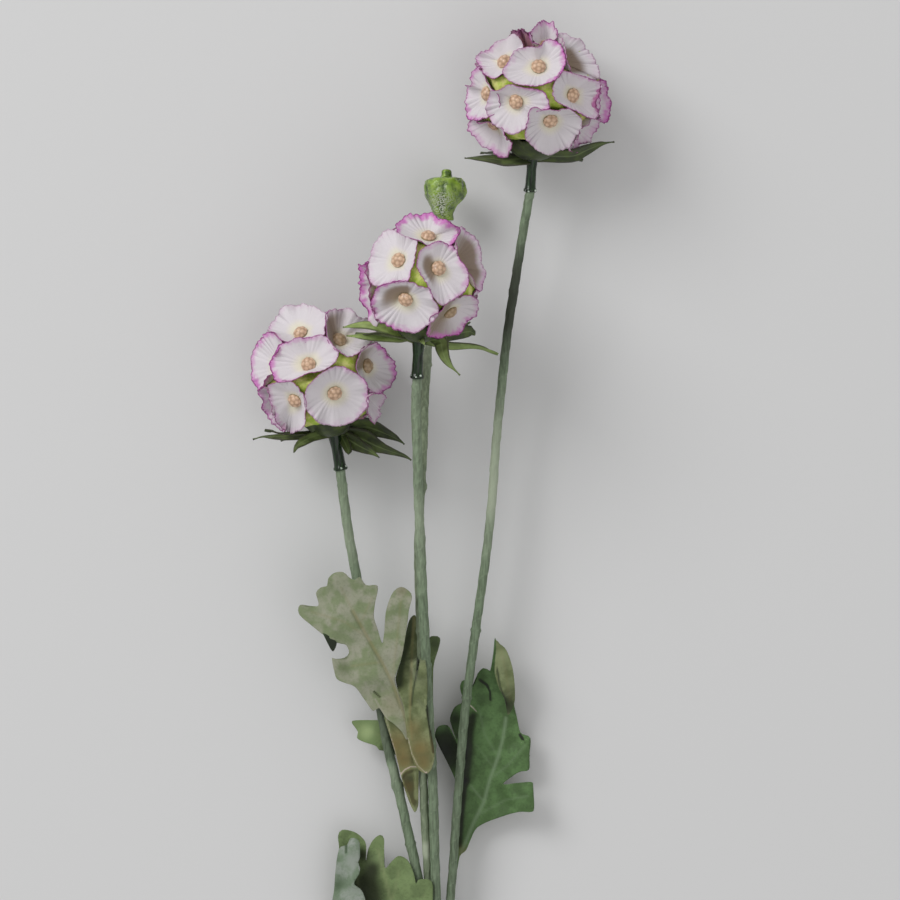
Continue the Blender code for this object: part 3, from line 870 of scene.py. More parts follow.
class Floret:
    """The shape of one cup on its head."""

    def __init__(self, cup: Cup, head: "Head", number: int) -> None:
        """Works out the cup's rim.

        Args:
            cup: what is known of the floret.
            head: the head that it is set in.
            number: its place among the head's florets, which seeds its ripples.
        """
        self.cup = cup
        self.head = head
        self.out = head.pointed(cup)
        self.floor = head.centre + self.out * (CUP_FLOOR * head.size - cup.deep)
        self.draw = random.Random(f"{head.name} {number}")
        self.pleats = Ripple(self.draw, (self.draw.randint(23, 27), self.draw.randint(29, 33)))
        self.swell = Ripple(self.draw, (2, 3))
        self.frill = Ripple(self.draw, (4, 5, 7, 9))
        self.nibble = [self.draw.uniform(-1, 1) for _ in range(CUP_SPOKES)]
        rim = self.seen_rim() if cup.rim else self.hidden_rim()
        self.rim = even_round(curve_through(rim, 0.8, True), CUP_SPOKES)

    def flat(self, offset: Vector) -> Vector:
        """The part of an offset that runs along the cup's floor."""
        return offset - self.out * offset.dot(self.out)

    def seen_rim(self) -> list[Vector]:
        """The rim where the picture shows it.

        Returns:
            Points on the ball that the rims lie on.
        """
        points = []
        for x, y, *tuck in self.cup.rim:
            radius = RIM_RADIUS * self.head.size + (tuck[0] if tuck else 0.0)
            points.append(self.head.on_ball((x, y), radius))
        return points[::-1]

    def hidden_rim(self) -> list[Vector]:
        """A rim that fills the room between the neighbours and laps them a little.

        Returns:
            Points that stay behind the seen cups.
        """
        first = self.flat(Vector((0.31, 0.52, 0.79))).normalized()
        second = self.out.cross(first)
        points = []
        for index in range(HIDDEN_CORNERS):
            turn = math.tau * index / HIDDEN_CORNERS
            way = first * math.cos(turn) + second * math.sin(turn)
            spread = max(self.room(way), LEAST_SPREAD) * self.draw.uniform(0.94, 1.04)
            towards = self.out * math.cos(spread) + way * math.sin(spread)
            near = min(towards.angle(seen) for seen in self.head.seen)
            tucked = HIDDEN_DROP * (1 - smooth(near, *HIDDEN_FROM))
            radius = RIM_RADIUS * self.head.size + self.draw.uniform(-1.3, 0.5) - tucked
            offset = towards * radius
            limit = self.head.seen_reach(offset)
            flat = math.hypot(offset.x, offset.y)
            if flat > limit:
                offset.xy *= limit / flat
            points.append(self.head.centre + offset)
        return points

    def room(self, way: Vector) -> float:
        """The room that the cup's neighbours leave it in one direction.

        Args:
            way: the direction along the cup's floor.

        Returns:
            The angle from the cup's middle, with a little lap.
        """
        spread = MOST_SPREAD
        for other in self.head.directions:
            between = self.out.angle(other)
            if not 0.01 < between < 1.2:
                continue
            towards = self.flat(other).normalized().dot(way)
            if towards > 0.2:
                spread = min(spread, math.atan(math.tan(between / 2) / towards) * SPREAD_LAP)
        return spread

    def at(self, spoke: int, share: float) -> Vector:
        """The cup's face at a spoke and a share of the way to the rim.

        Args:
            spoke: which of the CUP_SPOKES spokes.
            share: 0 on the floor's middle, 1 on the rim.

        Returns:
            The point on the plan.
        """
        turn = spoke / CUP_SPOKES
        offset = self.rim[spoke] - self.floor
        rise = offset.dot(self.out)
        outward = self.flat(offset)
        bowl = share ** (1.9 + 0.3 * self.swell.at(turn))
        point = self.floor + outward * share + self.out * rise * bowl
        point += self.out * (PLEAT_HEIGHT * self.pleat_at(turn) * share**2.1)
        point += self.out * (FRILL_HEIGHT * self.frill.at(turn) * smooth(share, 0.5, 1.0))
        ragged = self.nibble[spoke] * (TORN_NIBBLE if self.cup.frayed else NIBBLE)
        ragged += self.frill.at(turn + 0.11) * 0.25
        return point + outward.normalized() * ragged * smooth(share, 0.86, 1.0)

    def pleat_at(self, turn: float) -> float:
        """The pleats' height, within about 1 of 0, which fades out on parts of the rim."""
        return self.pleats.at(turn) * (0.7 + 0.5 * self.swell.at(turn + 0.3))

    def shape(self) -> BMesh:
        """The cup as a sheet, with its dye, pleats and painted wall shade held for the cloth.

        Returns:
            The sheet.
        """
        shape = spun([(share, 0) for share in CUP_RINGS], CUP_SPOKES)
        if next(iter(shape.faces)).normal.z < 0:
            bmesh.ops.reverse_faces(shape, faces=shape.faces)
        dye, pleat, crease = held(shape, "dye", "pleat", "crease")
        chart = shape.loops.layers.uv.new("cup")
        patchy = Ripple(self.draw, (1, 2, 3, 5))
        polar = {}
        for corner in shape.verts:
            turn = math.atan2(corner.co.y, corner.co.x) / math.tau % 1.0
            polar[corner] = (round(turn * CUP_SPOKES) % CUP_SPOKES, corner.co.length)
        for face in shape.faces:
            turns = [polar[loop.vert][0] / CUP_SPOKES for loop in face.loops]
            for loop, turn in zip(face.loops, turns):
                if max(turns) - turn > 0.5:
                    turn += 1.0
                loop[chart].uv = (turn, polar[loop.vert][1])
        for corner, (index, share) in polar.items():
            corner.co = self.settled(self.at(index, share))
            turn = index / CUP_SPOKES
            corner[pleat] = self.pleat_at(turn) * share**1.3 + 0.25 * self.nibble[index] * share
            corner[dye] = self.dyed(self.rim[index], patchy.at(turn))
            # Painted shade on the side of the wall that lies in shadow.
            corner[crease] = self.painted_wall_shade(self.rim[index], share)
        return shape

    def facing(self, rim: Vector, bearing: float) -> float:
        """The cosine between a picture direction in degrees and the way from the floor to the rim."""
        away = (rim - self.floor).to_2d()
        return math.cos(math.atan2(away.x, away.y) - math.radians(bearing))

    def painted_wall_shade(self, rim: Vector, share: float) -> float:
        """How much painted shade the inner wall gets where it lies in shadow.

        Args:
            rim: the point of the rim that the wall leads to.
            share: the share of the way to the rim.

        Returns:
            0 for no painted shade to 1 for full painted shade.
        """
        if self.cup.crease is None:
            return 0.0
        bearing, end, side = self.cup.crease
        wall = smooth(share, 0.05, 0.3) * (1 - smooth(share, end - 0.3, end))
        return wall * smooth(self.facing(rim, bearing), side, 0.8)

    def settled(self, point: Vector) -> Vector:
        """A point pressed flat where it would reach below the surface.

        Args:
            point: the point, which is moved.

        Returns:
            The same point.
        """
        least = SURFACE + LEAST_CLEARANCE
        if point.z < least + 1.0:
            point.z = max(point.z, least + 0.12 * max(point.z - least + 1.5, 0))
        return point

    def dyed(self, rim: Vector, patch: float) -> float:
        """How strongly the rim is dyed.

        Args:
            rim: the point of the rim.
            patch: the dye's own wave there.

        Returns:
            The strength, from nearly nothing to about 3.
        """
        strength = self.cup.dye * (1 + 0.35 * patch)
        if self.cup.lit_dye is not None:
            strength *= 0.75 + 0.75 * max(self.facing(rim, self.cup.lit_dye), -0.4)
        return max(strength, 0.05)


BEAD_RADIUS = 2.9
BEAD_HEIGHT = 2.5
KNOB_RINGS = ((0.05, 1, 0.0), (0.66, 5, 0.4), (1.2, 9, 0.0))  # angle from the top, how many, turn
KNOB_WIDTH = 0.31  # angle at the bead's middle
BEAD_PAINTED_SHADE = 0.6  # painted shade on a bead that lies in its cup's painted shade


def bead_shape(draw: random.Random, shade: float) -> BMesh:
    """A flattened dome with rings of knobs, standing on the origin along Z.

    Args:
        draw: gives each knob its place and size.
        shade: the least share of painted shade that it has.

    Returns:
        The bead.
    """
    shape = bmesh.new()
    bmesh.ops.create_icosphere(shape, subdivisions=4, radius=1.0)
    knob, skirt = held(shape, "knob", "skirt")
    tops = []
    for down, count, start in KNOB_RINGS:
        for index in range(count):
            turn = start + math.tau * (index + draw.uniform(-0.12, 0.12)) / count
            lean = down + draw.uniform(-0.05, 0.05)
            out = math.sin(lean)
            top = Vector((out * math.cos(turn), out * math.sin(turn), math.cos(lean)))
            tops.append((top, draw.uniform(0.75, 1.0)))
    for corner in shape.verts:
        way = corner.co.normalized()
        lump = max(size * math.exp(-((way.angle(top) / KNOB_WIDTH) ** 2)) for top, size in tops)
        corner[knob] = lump
        # Painted shade round the foot, and all over a bead in a shaded cup.
        corner[skirt] = max(1 - smooth(way.z, 0.05, 0.5), shade)
        reach = 0.93 + 0.13 * lump
        corner.co = Vector((way.x * BEAD_RADIUS, way.y * BEAD_RADIUS, way.z * BEAD_HEIGHT)) * reach
        if corner.co.z < 0:
            corner.co.z *= 0.25
    bmesh.ops.recalc_face_normals(shape, faces=shape.faces)
    return shape


CORE_RADIUS = 18.6
CORE_SWELL = 5.6  # how far the ball's foam stands up between the cups
BRACT_WALL = 0.45
BRACT_FOOT = 2.4  # from the head's axis
BRACT_ROWS = 6  # of faces across
GLUE_DROPS = 7
BOWL_PROFILE = (
    (0, -0.6), (3.2, -0.6), (5.6, 0.3), (8.6, 2.3), (10.8, 4.9), (11.6, 7.2), (11.0, 7.2), (9.9, 5.2),
    (7.6, 3.0), (4.6, 1.5), (0, 1.2),
)


def flat_blade(rows: int, light: float) -> tuple[BMesh, list[tuple[BMVert, float, float]]]:
    """The flat grid that a bract is bent from, with its painted light and its edge held for the cloth.

    Args:
        rows: how many corners it has along its length.
        light: how much of the lighter green, as painted light, it has.

    Returns:
        The grid, and each corner with its share of the length and its place across, from -1 to 1.
    """
    shape = bmesh.new()
    bmesh.ops.create_grid(shape, x_segments=rows, y_segments=BRACT_ROWS, size=1.0)
    painted_light, edge = held(shape, "light", "edge")
    corners = [(corner, (corner.co.x + 1) / 2, corner.co.y) for corner in shape.verts]
    # Each corner holds the bract's painted light and how far it lies from the middle.
    for corner, _, beside in corners:
        corner[painted_light], corner[edge] = light, abs(beside)
    return shape, corners


def thickened(shape: BMesh) -> BMesh:
    """Gives a bent bract its wall.

    Args:
        shape: the sheet, which is changed.

    Returns:
        The same shape.
    """
    bmesh.ops.recalc_face_normals(shape, faces=shape.faces)
    bmesh.ops.solidify(shape, geom=shape.faces[:], thickness=BRACT_WALL)
    return shape


@dataclass
class Head:
    """One flower head: ball, cups, beads, bracts and neck."""

    name: str
    middle: Point
    turn: float  # degrees that its axis turns to the right
    lift: float  # degrees that its tip is raised
    cups: tuple[Cup, ...]
    bracts: tuple[Bract, ...]
    maker: Maker
    seen_bracts: tuple[SeenBract, ...] = ()
    size: float = 1.0  # share of the usual size
    reach: float = 26.0  # how far from its centre it may be seen from above
    whorl_depth: float = 25.0  # from its centre back to the whorl
    neck_radius: float = 2.2  # at the waist
    neck_from: float = 15.5  # from the head's centre back to the neck's top
    neck_to: float = 38.8  # and to its foot
    axis: Vector = field(init=False)  # towards the tip
    side: Vector = field(init=False)  # to the right
    upper: Vector = field(init=False)
    centre: Vector = field(init=False)
    directions: list[Vector] = field(init=False)  # of the cups
    seen: list[Vector] = field(init=False)  # of the seen cups
    outline: list[Place] = field(init=False)  # bearing and reach along the seen rims

    def __post_init__(self) -> None:
        """Works out the head's axes, its cups' directions and its outline."""
        turn, lift = math.radians(self.turn), math.radians(self.lift)
        self.centre = Vector(self.middle)
        self.axis = Vector((math.sin(turn) * math.cos(lift), math.cos(turn) * math.cos(lift), math.sin(lift)))
        self.side = self.axis.cross(Vector((0, 0, 1))).normalized()
        self.upper = self.side.cross(self.axis)
        self.directions = [self.pointed(cup) for cup in self.cups]
        self.seen = [self.pointed(cup) for cup in self.cups if cup.rim]
        self.outline = []
        for cup in self.cups:
            rim = [self.on_ball(place[:2], RIM_RADIUS * self.size) - self.centre for place in cup.rim]
            for start, end in zip(rim, rim[1:] + rim[:1]):
                for share in (0.0, 0.33, 0.67):
                    point = start.lerp(end, share)
                    self.outline.append((math.atan2(point.x, point.y), math.hypot(point.x, point.y)))

    def aimed(self, tip: float, around: float) -> Vector:
        """A direction from the head's centre.

        Args:
            tip: degrees from the tip.
            around: degrees round from the upper side to the right.

        Returns:
            The direction.
        """
        down, turn = math.radians(tip), math.radians(around)
        ring = self.side * math.sin(turn) + self.upper * math.cos(turn)
        return self.axis * math.cos(down) + ring * math.sin(down)

    def pointed(self, cup: Cup) -> Vector:
        """The direction of a cup's middle.

        Args:
            cup: the cup.

        Returns:
            The direction through its bead where the picture shows one, or else by its angles.
        """
        if cup.bead is None:
            return self.aimed(cup.tip, cup.around)
        radius = CUP_FLOOR * self.size - cup.deep + BEAD_MIDDLE
        return (self.on_ball(cup.bead, radius) - self.centre).normalized()

    def on_ball(self, place: Place, radius: float) -> Vector:
        """The point of a ball that the camera sees at a picture place.

        Args:
            place: the picture place.
            radius: the ball's radius round the head's centre.

        Returns:
            The point on the plan.
        """
        height = self.centre.z
        for _ in range(3):
            offset = under_picture(place, height) - self.centre
            height = self.centre.z + math.sqrt(max(radius**2 - offset.x**2 - offset.y**2, 0.0))
        return under_picture(place, height)

    def seen_reach(self, offset: Vector) -> float:
        """How far out a hidden rim may show, so that it stays behind the seen ones.

        Args:
            offset: the rim's point from the head's centre.

        Returns:
            The distance seen from above.
        """
        bearing = math.atan2(offset.x, offset.y)
        near = []
        for turn, reach in self.outline:
            if abs((turn - bearing + math.pi) % math.tau - math.pi) < math.radians(5):
                near.append(reach)
        return min(max(near) - OUTLINE_GAP, self.reach) if near else self.reach

    def build(self) -> None:
        """Makes every piece of the head."""
        cover = self.make_cups()
        self.make_core(cover)
        self.make_whorl(cover)
        self.make_neck()

    def make_core(self, cover: BVHTree) -> None:
        """The lime ball.

        Args:
            cover: the cups' cloth, which it stays under.
        """
        shape = bmesh.new()
        bmesh.ops.create_icosphere(shape, subdivisions=5, radius=CORE_RADIUS)
        for corner in shape.verts:
            way = corner.co.normalized()
            away = min(way.angle(direction) for direction in self.directions)
            bump = noise.noise(corner.co * 0.35) + 0.5 * noise.noise(corner.co * 1.1)
            to_tip = way.angle(self.axis)
            swell = CORE_SWELL * smooth(away, math.radians(9), math.radians(18))
            swell *= smooth(to_tip, math.radians(20), math.radians(38))
            swell *= smooth(math.pi - to_tip, 0.25, 0.72)
            corner.co = way * (CORE_RADIUS * (1 + 0.035 * bump) + swell) * self.size
        bmesh.ops.translate(shape, vec=self.centre, verts=shape.verts)
        kept_under(shape, cover, self.centre, COVER_GAP)
        core = self.maker.finishes.core
        self.maker.piece(f"{self.name}_ball", shape, Slot.CORE, [core], [f"{self.name}_core"])

    def make_cups(self) -> BVHTree:
        """Each floret, and the bead on its floor.

        Returns:
            The cups' cloth, for what has to stay under it.
        """
        cloth = bmesh.new()
        for is_seen in (True, False):
            over = None if is_seen else BVHTree.FromBMesh(cloth)
            for number, cup in enumerate(self.cups, 1):
                if bool(cup.rim) != is_seen:
                    continue
                floret = Floret(cup, self, number)
                shape = floret.shape()
                if over is not None:
                    kept_under(shape, over, self.centre, LAP_GAP)
                join_into(cloth, shape.copy())
                self.dress(floret, number, shape)
        cover = BVHTree.FromBMesh(cloth)
        cloth.free()
        return cover

    def dress(self, floret: Floret, number: int, shape: BMesh) -> None:
        """Turns one cup into a piece, and its bead into another.

        Args:
            floret: the floret.
            number: its place among the head's florets.
            shape: its cup.
        """
        finishes = self.maker.finishes
        cloths = finishes.fringe if floret.cup.frayed else finishes.cup
        name = f"{self.name}_floret_{number:02d}"
        row = f"{self.name}_{floret.cup.row.value}"
        self.maker.piece(name, shape, Slot.PETAL, cloths, [row], CUP_WALL)
        if floret.cup.frayed:
            return
        # A bead in a cup's painted shade gets painted shade too.
        bead = bead_shape(floret.draw, BEAD_PAINTED_SHADE if floret.cup.bead_in_painted_shade() else 0.0)
        place = laid_along(floret.out, floret.floor + floret.out * 0.15)
        spin = Matrix.Rotation(floret.draw.uniform(0, math.tau), 4, "Z")
        bmesh.ops.transform(bead, matrix=place @ spin, verts=bead.verts)
        self.maker.piece(f"{self.name}_bead_{number:02d}", bead, Slot.PETAL, [finishes.bead])

    def make_whorl(self, cover: BVHTree) -> None:
        """The bracts, each a pointed blade with a fold along its middle, round one bowl that holds the ball.

        Args:
            cover: the cups' cloth, which the bowl stays under.
        """
        shape = bmesh.new()
        draw = random.Random(self.name)
        for bract in self.bracts:
            join_into(shape, self.blade(bract, draw))
        for seen in self.seen_bracts:
            join_into(shape, self.seen_blade(seen))
        hub = spun(BOWL_PROFILE, 48)
        [edge] = held(hub, "edge")
        for corner in hub.verts:
            turn = math.atan2(corner.co.y, corner.co.x)
            high = smooth(corner.co.z, 2.0, 7.0)
            corner[edge] = 0.5 + 0.4 * high
            ragged = 0.4 + math.sin(5 * turn + len(self.name)) + 0.7 * math.sin(9 * turn)
            corner.co.z += high * ragged
            corner.co.xy *= self.size * (1 + 0.06 * high * math.sin(7 * turn + 1))
        place = laid_along(self.axis, self.centre - self.axis * self.whorl_depth)
        bmesh.ops.transform(hub, matrix=place, verts=hub.verts)
        kept_under(hub, cover, self.centre, COVER_GAP)
        join_into(shape, hub)
        cloth = self.maker.finishes.bract
        self.maker.piece(f"{self.name}_whorl", shape, Slot.BRACT, [cloth], [f"{self.name}_bracts"])

    def blade(self, bract: Bract, draw: random.Random) -> BMesh:
        """One bract.

        Args:
            bract: its sizes.
            draw: gives its bends.

        Returns:
            The blade, with its own thickness.
        """
        turn = math.radians(bract.around)
        outward = self.side * math.sin(turn) + self.upper * math.cos(turn)
        across = self.axis.cross(outward)
        sway, wave, phase = draw.uniform(-0.08, 0.08), draw.uniform(0.4, 0.8), draw.uniform(0, 6)
        length = bract.reach - BRACT_FOOT
        shape, corners = flat_blade(24, bract.light)
        for corner, share, beside in corners:
            full = smooth(share, -0.15, 0.32) * (1 - smooth(share, 0.3, 1.08) ** 1.3)
            half = bract.wide * max(full, 0.0) + 0.12
            ripple = 0.35 * math.sin(phase + 11 * share + 2.5 * beside) * share
            arch = 1.1 * math.sin(math.pi * share) * wave
            level = bract.rise * share**1.8 + arch + 0.2 * half * beside**2 + ripple
            point = self.centre - self.axis * (self.whorl_depth - level)
            point += outward * (BRACT_FOOT + length * share)
            point += across * (half * beside + sway * length * share**2)
            point.z = max(point.z, SURFACE + 0.6)
            corner.co = point
        return thickened(shape)

    def seen_blade(self, bract: SeenBract) -> BMesh:
        """One bract where the picture shows it.

        Args:
            bract: its line, lift and tilt.

        Returns:
            The blade, with its own thickness.
        """
        hub = self.centre - self.axis * self.whorl_depth
        lengths = [0.0]
        for start, end in zip(bract.line, bract.line[1:]):
            lengths.append(lengths[-1] + math.dist(start[:2], end[:2]))
        rises = [bract.lift * (length / lengths[-1]) ** 1.3 for length in lengths]
        points = [under_picture((x, y), hub.z + rise) for (x, y, _), rise in zip(bract.line, rises)]
        halves = [half * MM_PER_PIXEL for _, _, half in bract.line]
        tilt = math.radians(bract.tilt)
        shape, corners = flat_blade(26, bract.light)
        for corner, share, beside in corners:
            where = share * (len(points) - 1)
            index = min(int(where), len(points) - 2)
            part = where - index
            before, after = max(index - 1, 0), min(index + 2, len(points) - 1)
            middle = curve_point(points[before], points[index], points[index + 1], points[after], part)
            half = halves[index] + (halves[index + 1] - halves[index]) * part
            forward = (points[index + 1] - points[index]).to_2d().normalized()
            across = Vector((-forward.y, forward.x, math.tan(tilt)))
            fold = 0.35 * half * (abs(beside) - 0.5) + 0.4 * math.sin(9 * share + 2 * beside) * share
            corner.co = middle + across * half * beside + Vector((0, 0, fold))
            corner.co.z = max(corner.co.z, SURFACE + 0.7)
        return thickened(shape)

    def make_neck(self) -> None:
        """The moulded neck with its rim, and the glue that has squeezed out round it."""
        low, high = -self.neck_to, -self.neck_from
        radius = self.neck_radius
        profile = (
            (0, high), (radius * 1.6, high), (radius * 1.5, high - 6), (radius * 1.12, high - 10),
            (radius * 0.98, high - 13), (radius * 0.9, low + 9), (radius * 0.96, low + 3.4),
            (radius * 1.04, low + 1.6), (radius * 1.2, low + 1.1), (radius * 1.22, low + 0.4),
            (radius * 1.1, low), (0, low),
        )
        shape = spun(profile, 36)
        refine(shape, 1.6)
        for corner in shape.verts:
            bump = noise.noise(Vector((corner.co.x, corner.co.y, corner.co.z * 0.35)) * 0.9)
            corner.co.xy *= 1 + 0.045 * bump
        bmesh.ops.transform(shape, matrix=laid_along(self.axis, self.centre), verts=shape.verts)
        plastic = self.maker.finishes.neck
        self.maker.piece(f"{self.name}_moulded_neck", shape, Slot.NECK, [plastic], [f"{self.name}_neck"])
        draw = random.Random(self.name + " glue")
        glue = bmesh.new()
        for index in range(GLUE_DROPS):
            drop = bmesh.new()
            bmesh.ops.create_icosphere(drop, subdivisions=3, radius=draw.uniform(0.35, 0.6))
            turn = math.tau * (index + draw.uniform(-0.3, 0.3)) / GLUE_DROPS
            for corner in drop.verts:
                corner.co.z *= 1.5
            ring = self.side * math.sin(turn) + self.upper * math.cos(turn)
            place = self.centre - self.axis * (self.neck_to - draw.uniform(0.2, 1.6)) + ring * radius * 1.02
            bmesh.ops.translate(drop, vec=place, verts=drop.verts)
            join_into(glue, drop)
        self.maker.piece(f"{self.name}_glue", glue, Slot.NECK, [self.maker.finishes.glue])


@dataclass(frozen=True)
class Stem:
    """A wire stem wrapped in paper tape."""

    node: str
    line: tuple[Point, ...]
    radius: float
    tape: Material
    knots: tuple[Point, ...] = ()  # of each tape end: distance from the top, extra radius, half length
    pitch: float = 8.5  # how far the tape moves along in one turn
    tones: tuple[Place, ...] = ((0, 0),)  # distance from the top, and -1 for painted shade to 1 for painted light, with a few pale collars of the tape's own
    into: float = 0.0  # how far its top reaches up into what it carries
    sides: int = 20
    step: float = 1.1  # between its sections

    def build(self, maker: Maker) -> None:
        """Extrudes the stem ring by ring along its centre line.

        Args:
            maker: what makes the piece.
        """
        line = [Vector(point) for point in self.line]
        line[0] += (line[0] - line[1]).normalized() * self.into
        path = curve_through(line, self.step, False)
        shape = bmesh.new()
        lap, tone = held(shape, "lap", "tone")
        made = bmesh.ops.create_circle(shape, segments=self.sides, radius=self.radius, cap_ends=False)
        ring: list[BMVert] = made["verts"]
        edges = list({edge for corner in ring for edge in corner.link_edges})
        bmesh.ops.contextual_create(shape, geom=edges)
        right, up = Vector((1, 0, 0)), Vector((0, 1, 0))
        walked = 0.0
        phase = random.Random(self.node).uniform(0, 9)
        for index, point in enumerate(path):
            if index:
                walked += (point - path[index - 1]).length
                grown = bmesh.ops.extrude_edge_only(shape, edges=edges)["geom"]
                ring = [item for item in grown if isinstance(item, BMVert)]
                edges = [item for item in grown if isinstance(item, BMEdge)]
            centre = sum((corner.co for corner in ring), Vector()) / len(ring)
            arms = [corner.co - centre for corner in ring]
            angles = [math.atan2(arm.dot(up), arm.dot(right)) for arm in arms]
            forward = (path[min(index + 1, len(path) - 1)] - path[max(index - 1, 0)]).normalized()
            right = forward.cross(Vector((0, 0, 1))).normalized()
            up = right.cross(forward)
            for corner, angle in zip(ring, angles):
                climb = (walked / self.pitch + angle / math.tau + phase) % 1.0
                corner[lap] = 1 - abs(2 * climb - 1) if climb < 0.5 else climb
                # The tone is painted light and shade along the stem, with a few pale collars of the tape's
                # own.
                corner[tone] = self.tone_at(walked)
                reach = self.radius + self.relief(walked, angle, climb, phase)
                corner.co = point + (right * math.cos(angle) + up * math.sin(angle)) * reach
        bmesh.ops.contextual_create(shape, geom=edges)
        bmesh.ops.recalc_face_normals(shape, faces=shape.faces)
        maker.piece(f"{self.node}_taped", shape, Slot.STEM, [self.tape], [self.node])

    def tone_at(self, walked: float) -> float:
        """The stem's tone at one place: painted light and shade, and its pale collars.

        Args:
            walked: the distance from the top.

        Returns:
            The tone.
        """
        before = max((tone for tone in self.tones if tone[0] <= walked), default=self.tones[0])
        after = min((tone for tone in self.tones if tone[0] > walked), default=self.tones[-1])
        share = smooth(walked, before[0], after[0]) if after[0] > before[0] else 0.0
        return before[1] + (after[1] - before[1]) * share

    def relief(self, walked: float, angle: float, climb: float, phase: float) -> float:
        """How far the tape stands out from the stem's radius at one place.

        Args:
            walked: the distance from the top.
            angle: the angle round the stem.
            climb: the share of a turn since the tape's last edge.
            phase: the stem's own start in the noise.

        Returns:
            The relief.
        """
        wrap = 0.16 * (smooth(climb, 0.0, 0.9) - 0.5) - 0.05 * smooth(climb, 0.9, 1.0)
        spot = Vector((math.cos(angle) * 1.2, math.sin(angle) * 1.2, walked * 0.45 + phase))
        crease = 0.07 * noise.noise(spot)
        slow = 0.10 * noise.noise(Vector((3.7, phase, walked * 0.08)))
        knots = sum(height * math.exp(-(((walked - at) / half) ** 2)) for at, height, half in self.knots)
        return wrap + crease + slow + knots


@dataclass(frozen=True)
class Patch:
    """A soft round patch on a leaf."""

    x: float
    y: float
    reach: float  # in pixels
    # below 0 painted shade, above 0 paler: painted light and the cloth's own paler patches
    tone: float = 0.0
    ochre: float = 0.0

    def share(self, place: Place) -> float:
        """How much of the patch there is at a picture place, from 0 to 1."""
        return math.exp(-(((place[0] - self.x) ** 2 + (place[1] - self.y) ** 2) / self.reach**2))


def strongest(place: Place, lines: Sequence[SoftLine]) -> float:
    """How strong a set of soft lines is at a picture place.

    Args:
        place: the picture place.
        lines: the soft lines.

    Returns:
        The strength furthest from nothing.
    """
    spot = Vector(place)
    best = 0.0
    for line, half, strength in lines:
        for start, end in zip(line, line[1:]):
            start, run = Vector(start), Vector(end) - Vector(start)
            share = min(max((spot - start).dot(run) / run.length_squared, 0.0), 1.0)
            here = strength * math.exp(-(((spot - start - run * share).length / half) ** 2))
            best = here if abs(here) > abs(best) else best
    return best


@dataclass(frozen=True)
class Leaf:
    """A lobed leaf."""

    name: str
    slot: Slot
    face: Side  # the side that is uppermost, and the edge
    back: Side
    outline: tuple[Place, ...]
    heights: tuple[Point, ...]  # plan points that its surface passes near
    replaces: tuple[str, ...] = ()
    ribs: tuple[SoftLine, ...] = ()
    patches: tuple[Patch, ...] = ()
    shades: tuple[SoftLine, ...] = ()  # painted shade below 0, and above 0 paler: painted light and the cloth's own pale edges
    ruffle: float = 0.8  # how far its surface waves
    lift: float = 0.0  # how far the whole leaf is moved up
    rib_height: float = 0.35  # of a full vein
    grid: float = 0.9  # between its corners
    wall: float = 0.45
    usual_height: float = 22.0  # that its outline is laid flat at

    def build(self, maker: Maker) -> None:
        """Cuts the leaf to its outline, bends it and gives it its wall.

        Args:
            maker: what makes the piece.
        """
        flat = [under_picture(place, self.usual_height).to_2d().to_3d() for place in self.outline]
        rim = curve_through(flat, 1.1, True)
        shape = bmesh.new()
        shape.faces.new([shape.verts.new(point) for point in rim])
        for axis in (0, 1):
            low, high = min(point[axis] for point in rim), max(point[axis] for point in rim)
            normal = Vector((1, 0, 0)) if axis == 0 else Vector((0, 1, 0))
            for index in range(1, int((high - low) / self.grid) + 1):
                cut = normal * (low + index * self.grid)
                everything = [*shape.verts, *shape.edges, *shape.faces]
                bmesh.ops.bisect_plane(shape, geom=everything, dist=0.02, plane_co=cut, plane_no=normal)
        bmesh.ops.triangulate(shape, faces=[face for face in shape.faces if len(face.verts) > 4])
        tone, ochre, rib = held(shape, "tone", "ochre", "rib")
        for corner in shape.verts:
            place = self.picture(corner.co)
            vein = strongest(place, self.ribs)
            # The tone is painted shade below 0 and, above 0, painted light and the cloth's own paler parts.
            patched = sum(patch.tone * patch.share(place) for patch in self.patches)
            corner[tone] = patched + sum(strongest(place, (shade,)) for shade in self.shades)
            corner[ochre] = min(sum(patch.ochre * patch.share(place) for patch in self.patches), 1.0)
            corner[rib] = vein
            height = self.height(corner.co) + self.rib_height * vein + self.lift
            wave = noise.noise(Vector((corner.co.x * 0.09, corner.co.y * 0.09, len(self.name))))
            wave += 0.5 * noise.noise(Vector((corner.co.x * 0.22, corner.co.y * 0.22, 3.3)))
            corner.co.z = height + self.ruffle * wave
            placed = under_picture(place, corner.co.z)
            corner.co = Vector((placed.x, placed.y, max(corner.co.z, SURFACE + 0.9)))
        bmesh.ops.recalc_face_normals(shape, faces=shape.faces)
        if sum(face.normal.z * face.calc_area() for face in shape.faces) < 0:
            bmesh.ops.reverse_faces(shape, faces=shape.faces)
        leaf = maker.finishes.leaf
        cloths = [leaf[self.face], leaf[self.back], leaf[self.face]]
        maker.piece(self.name, shape, self.slot, cloths, self.replaces, self.wall)

    def picture(self, point: Vector) -> Place:
        """The picture place of a flat point at the leaf's usual height."""
        scale = MM_PER_PIXEL * (1 - (self.usual_height - FOCUS_HEIGHT) / CAMERA_RISE)
        return (PICTURE_MIDDLE + point.x / scale, PICTURE_MIDDLE - point.y / scale)

    def height(self, point: Vector) -> float:
        """A mean of the stated heights, weighted to the nearest."""
        weights = [1 / (0.5 + (point.x - x) ** 2 + (point.y - y) ** 2) ** 1.5 for x, y, _ in self.heights]
        return sum(weight * z for weight, (_, _, z) in zip(weights, self.heights)) / sum(weights)


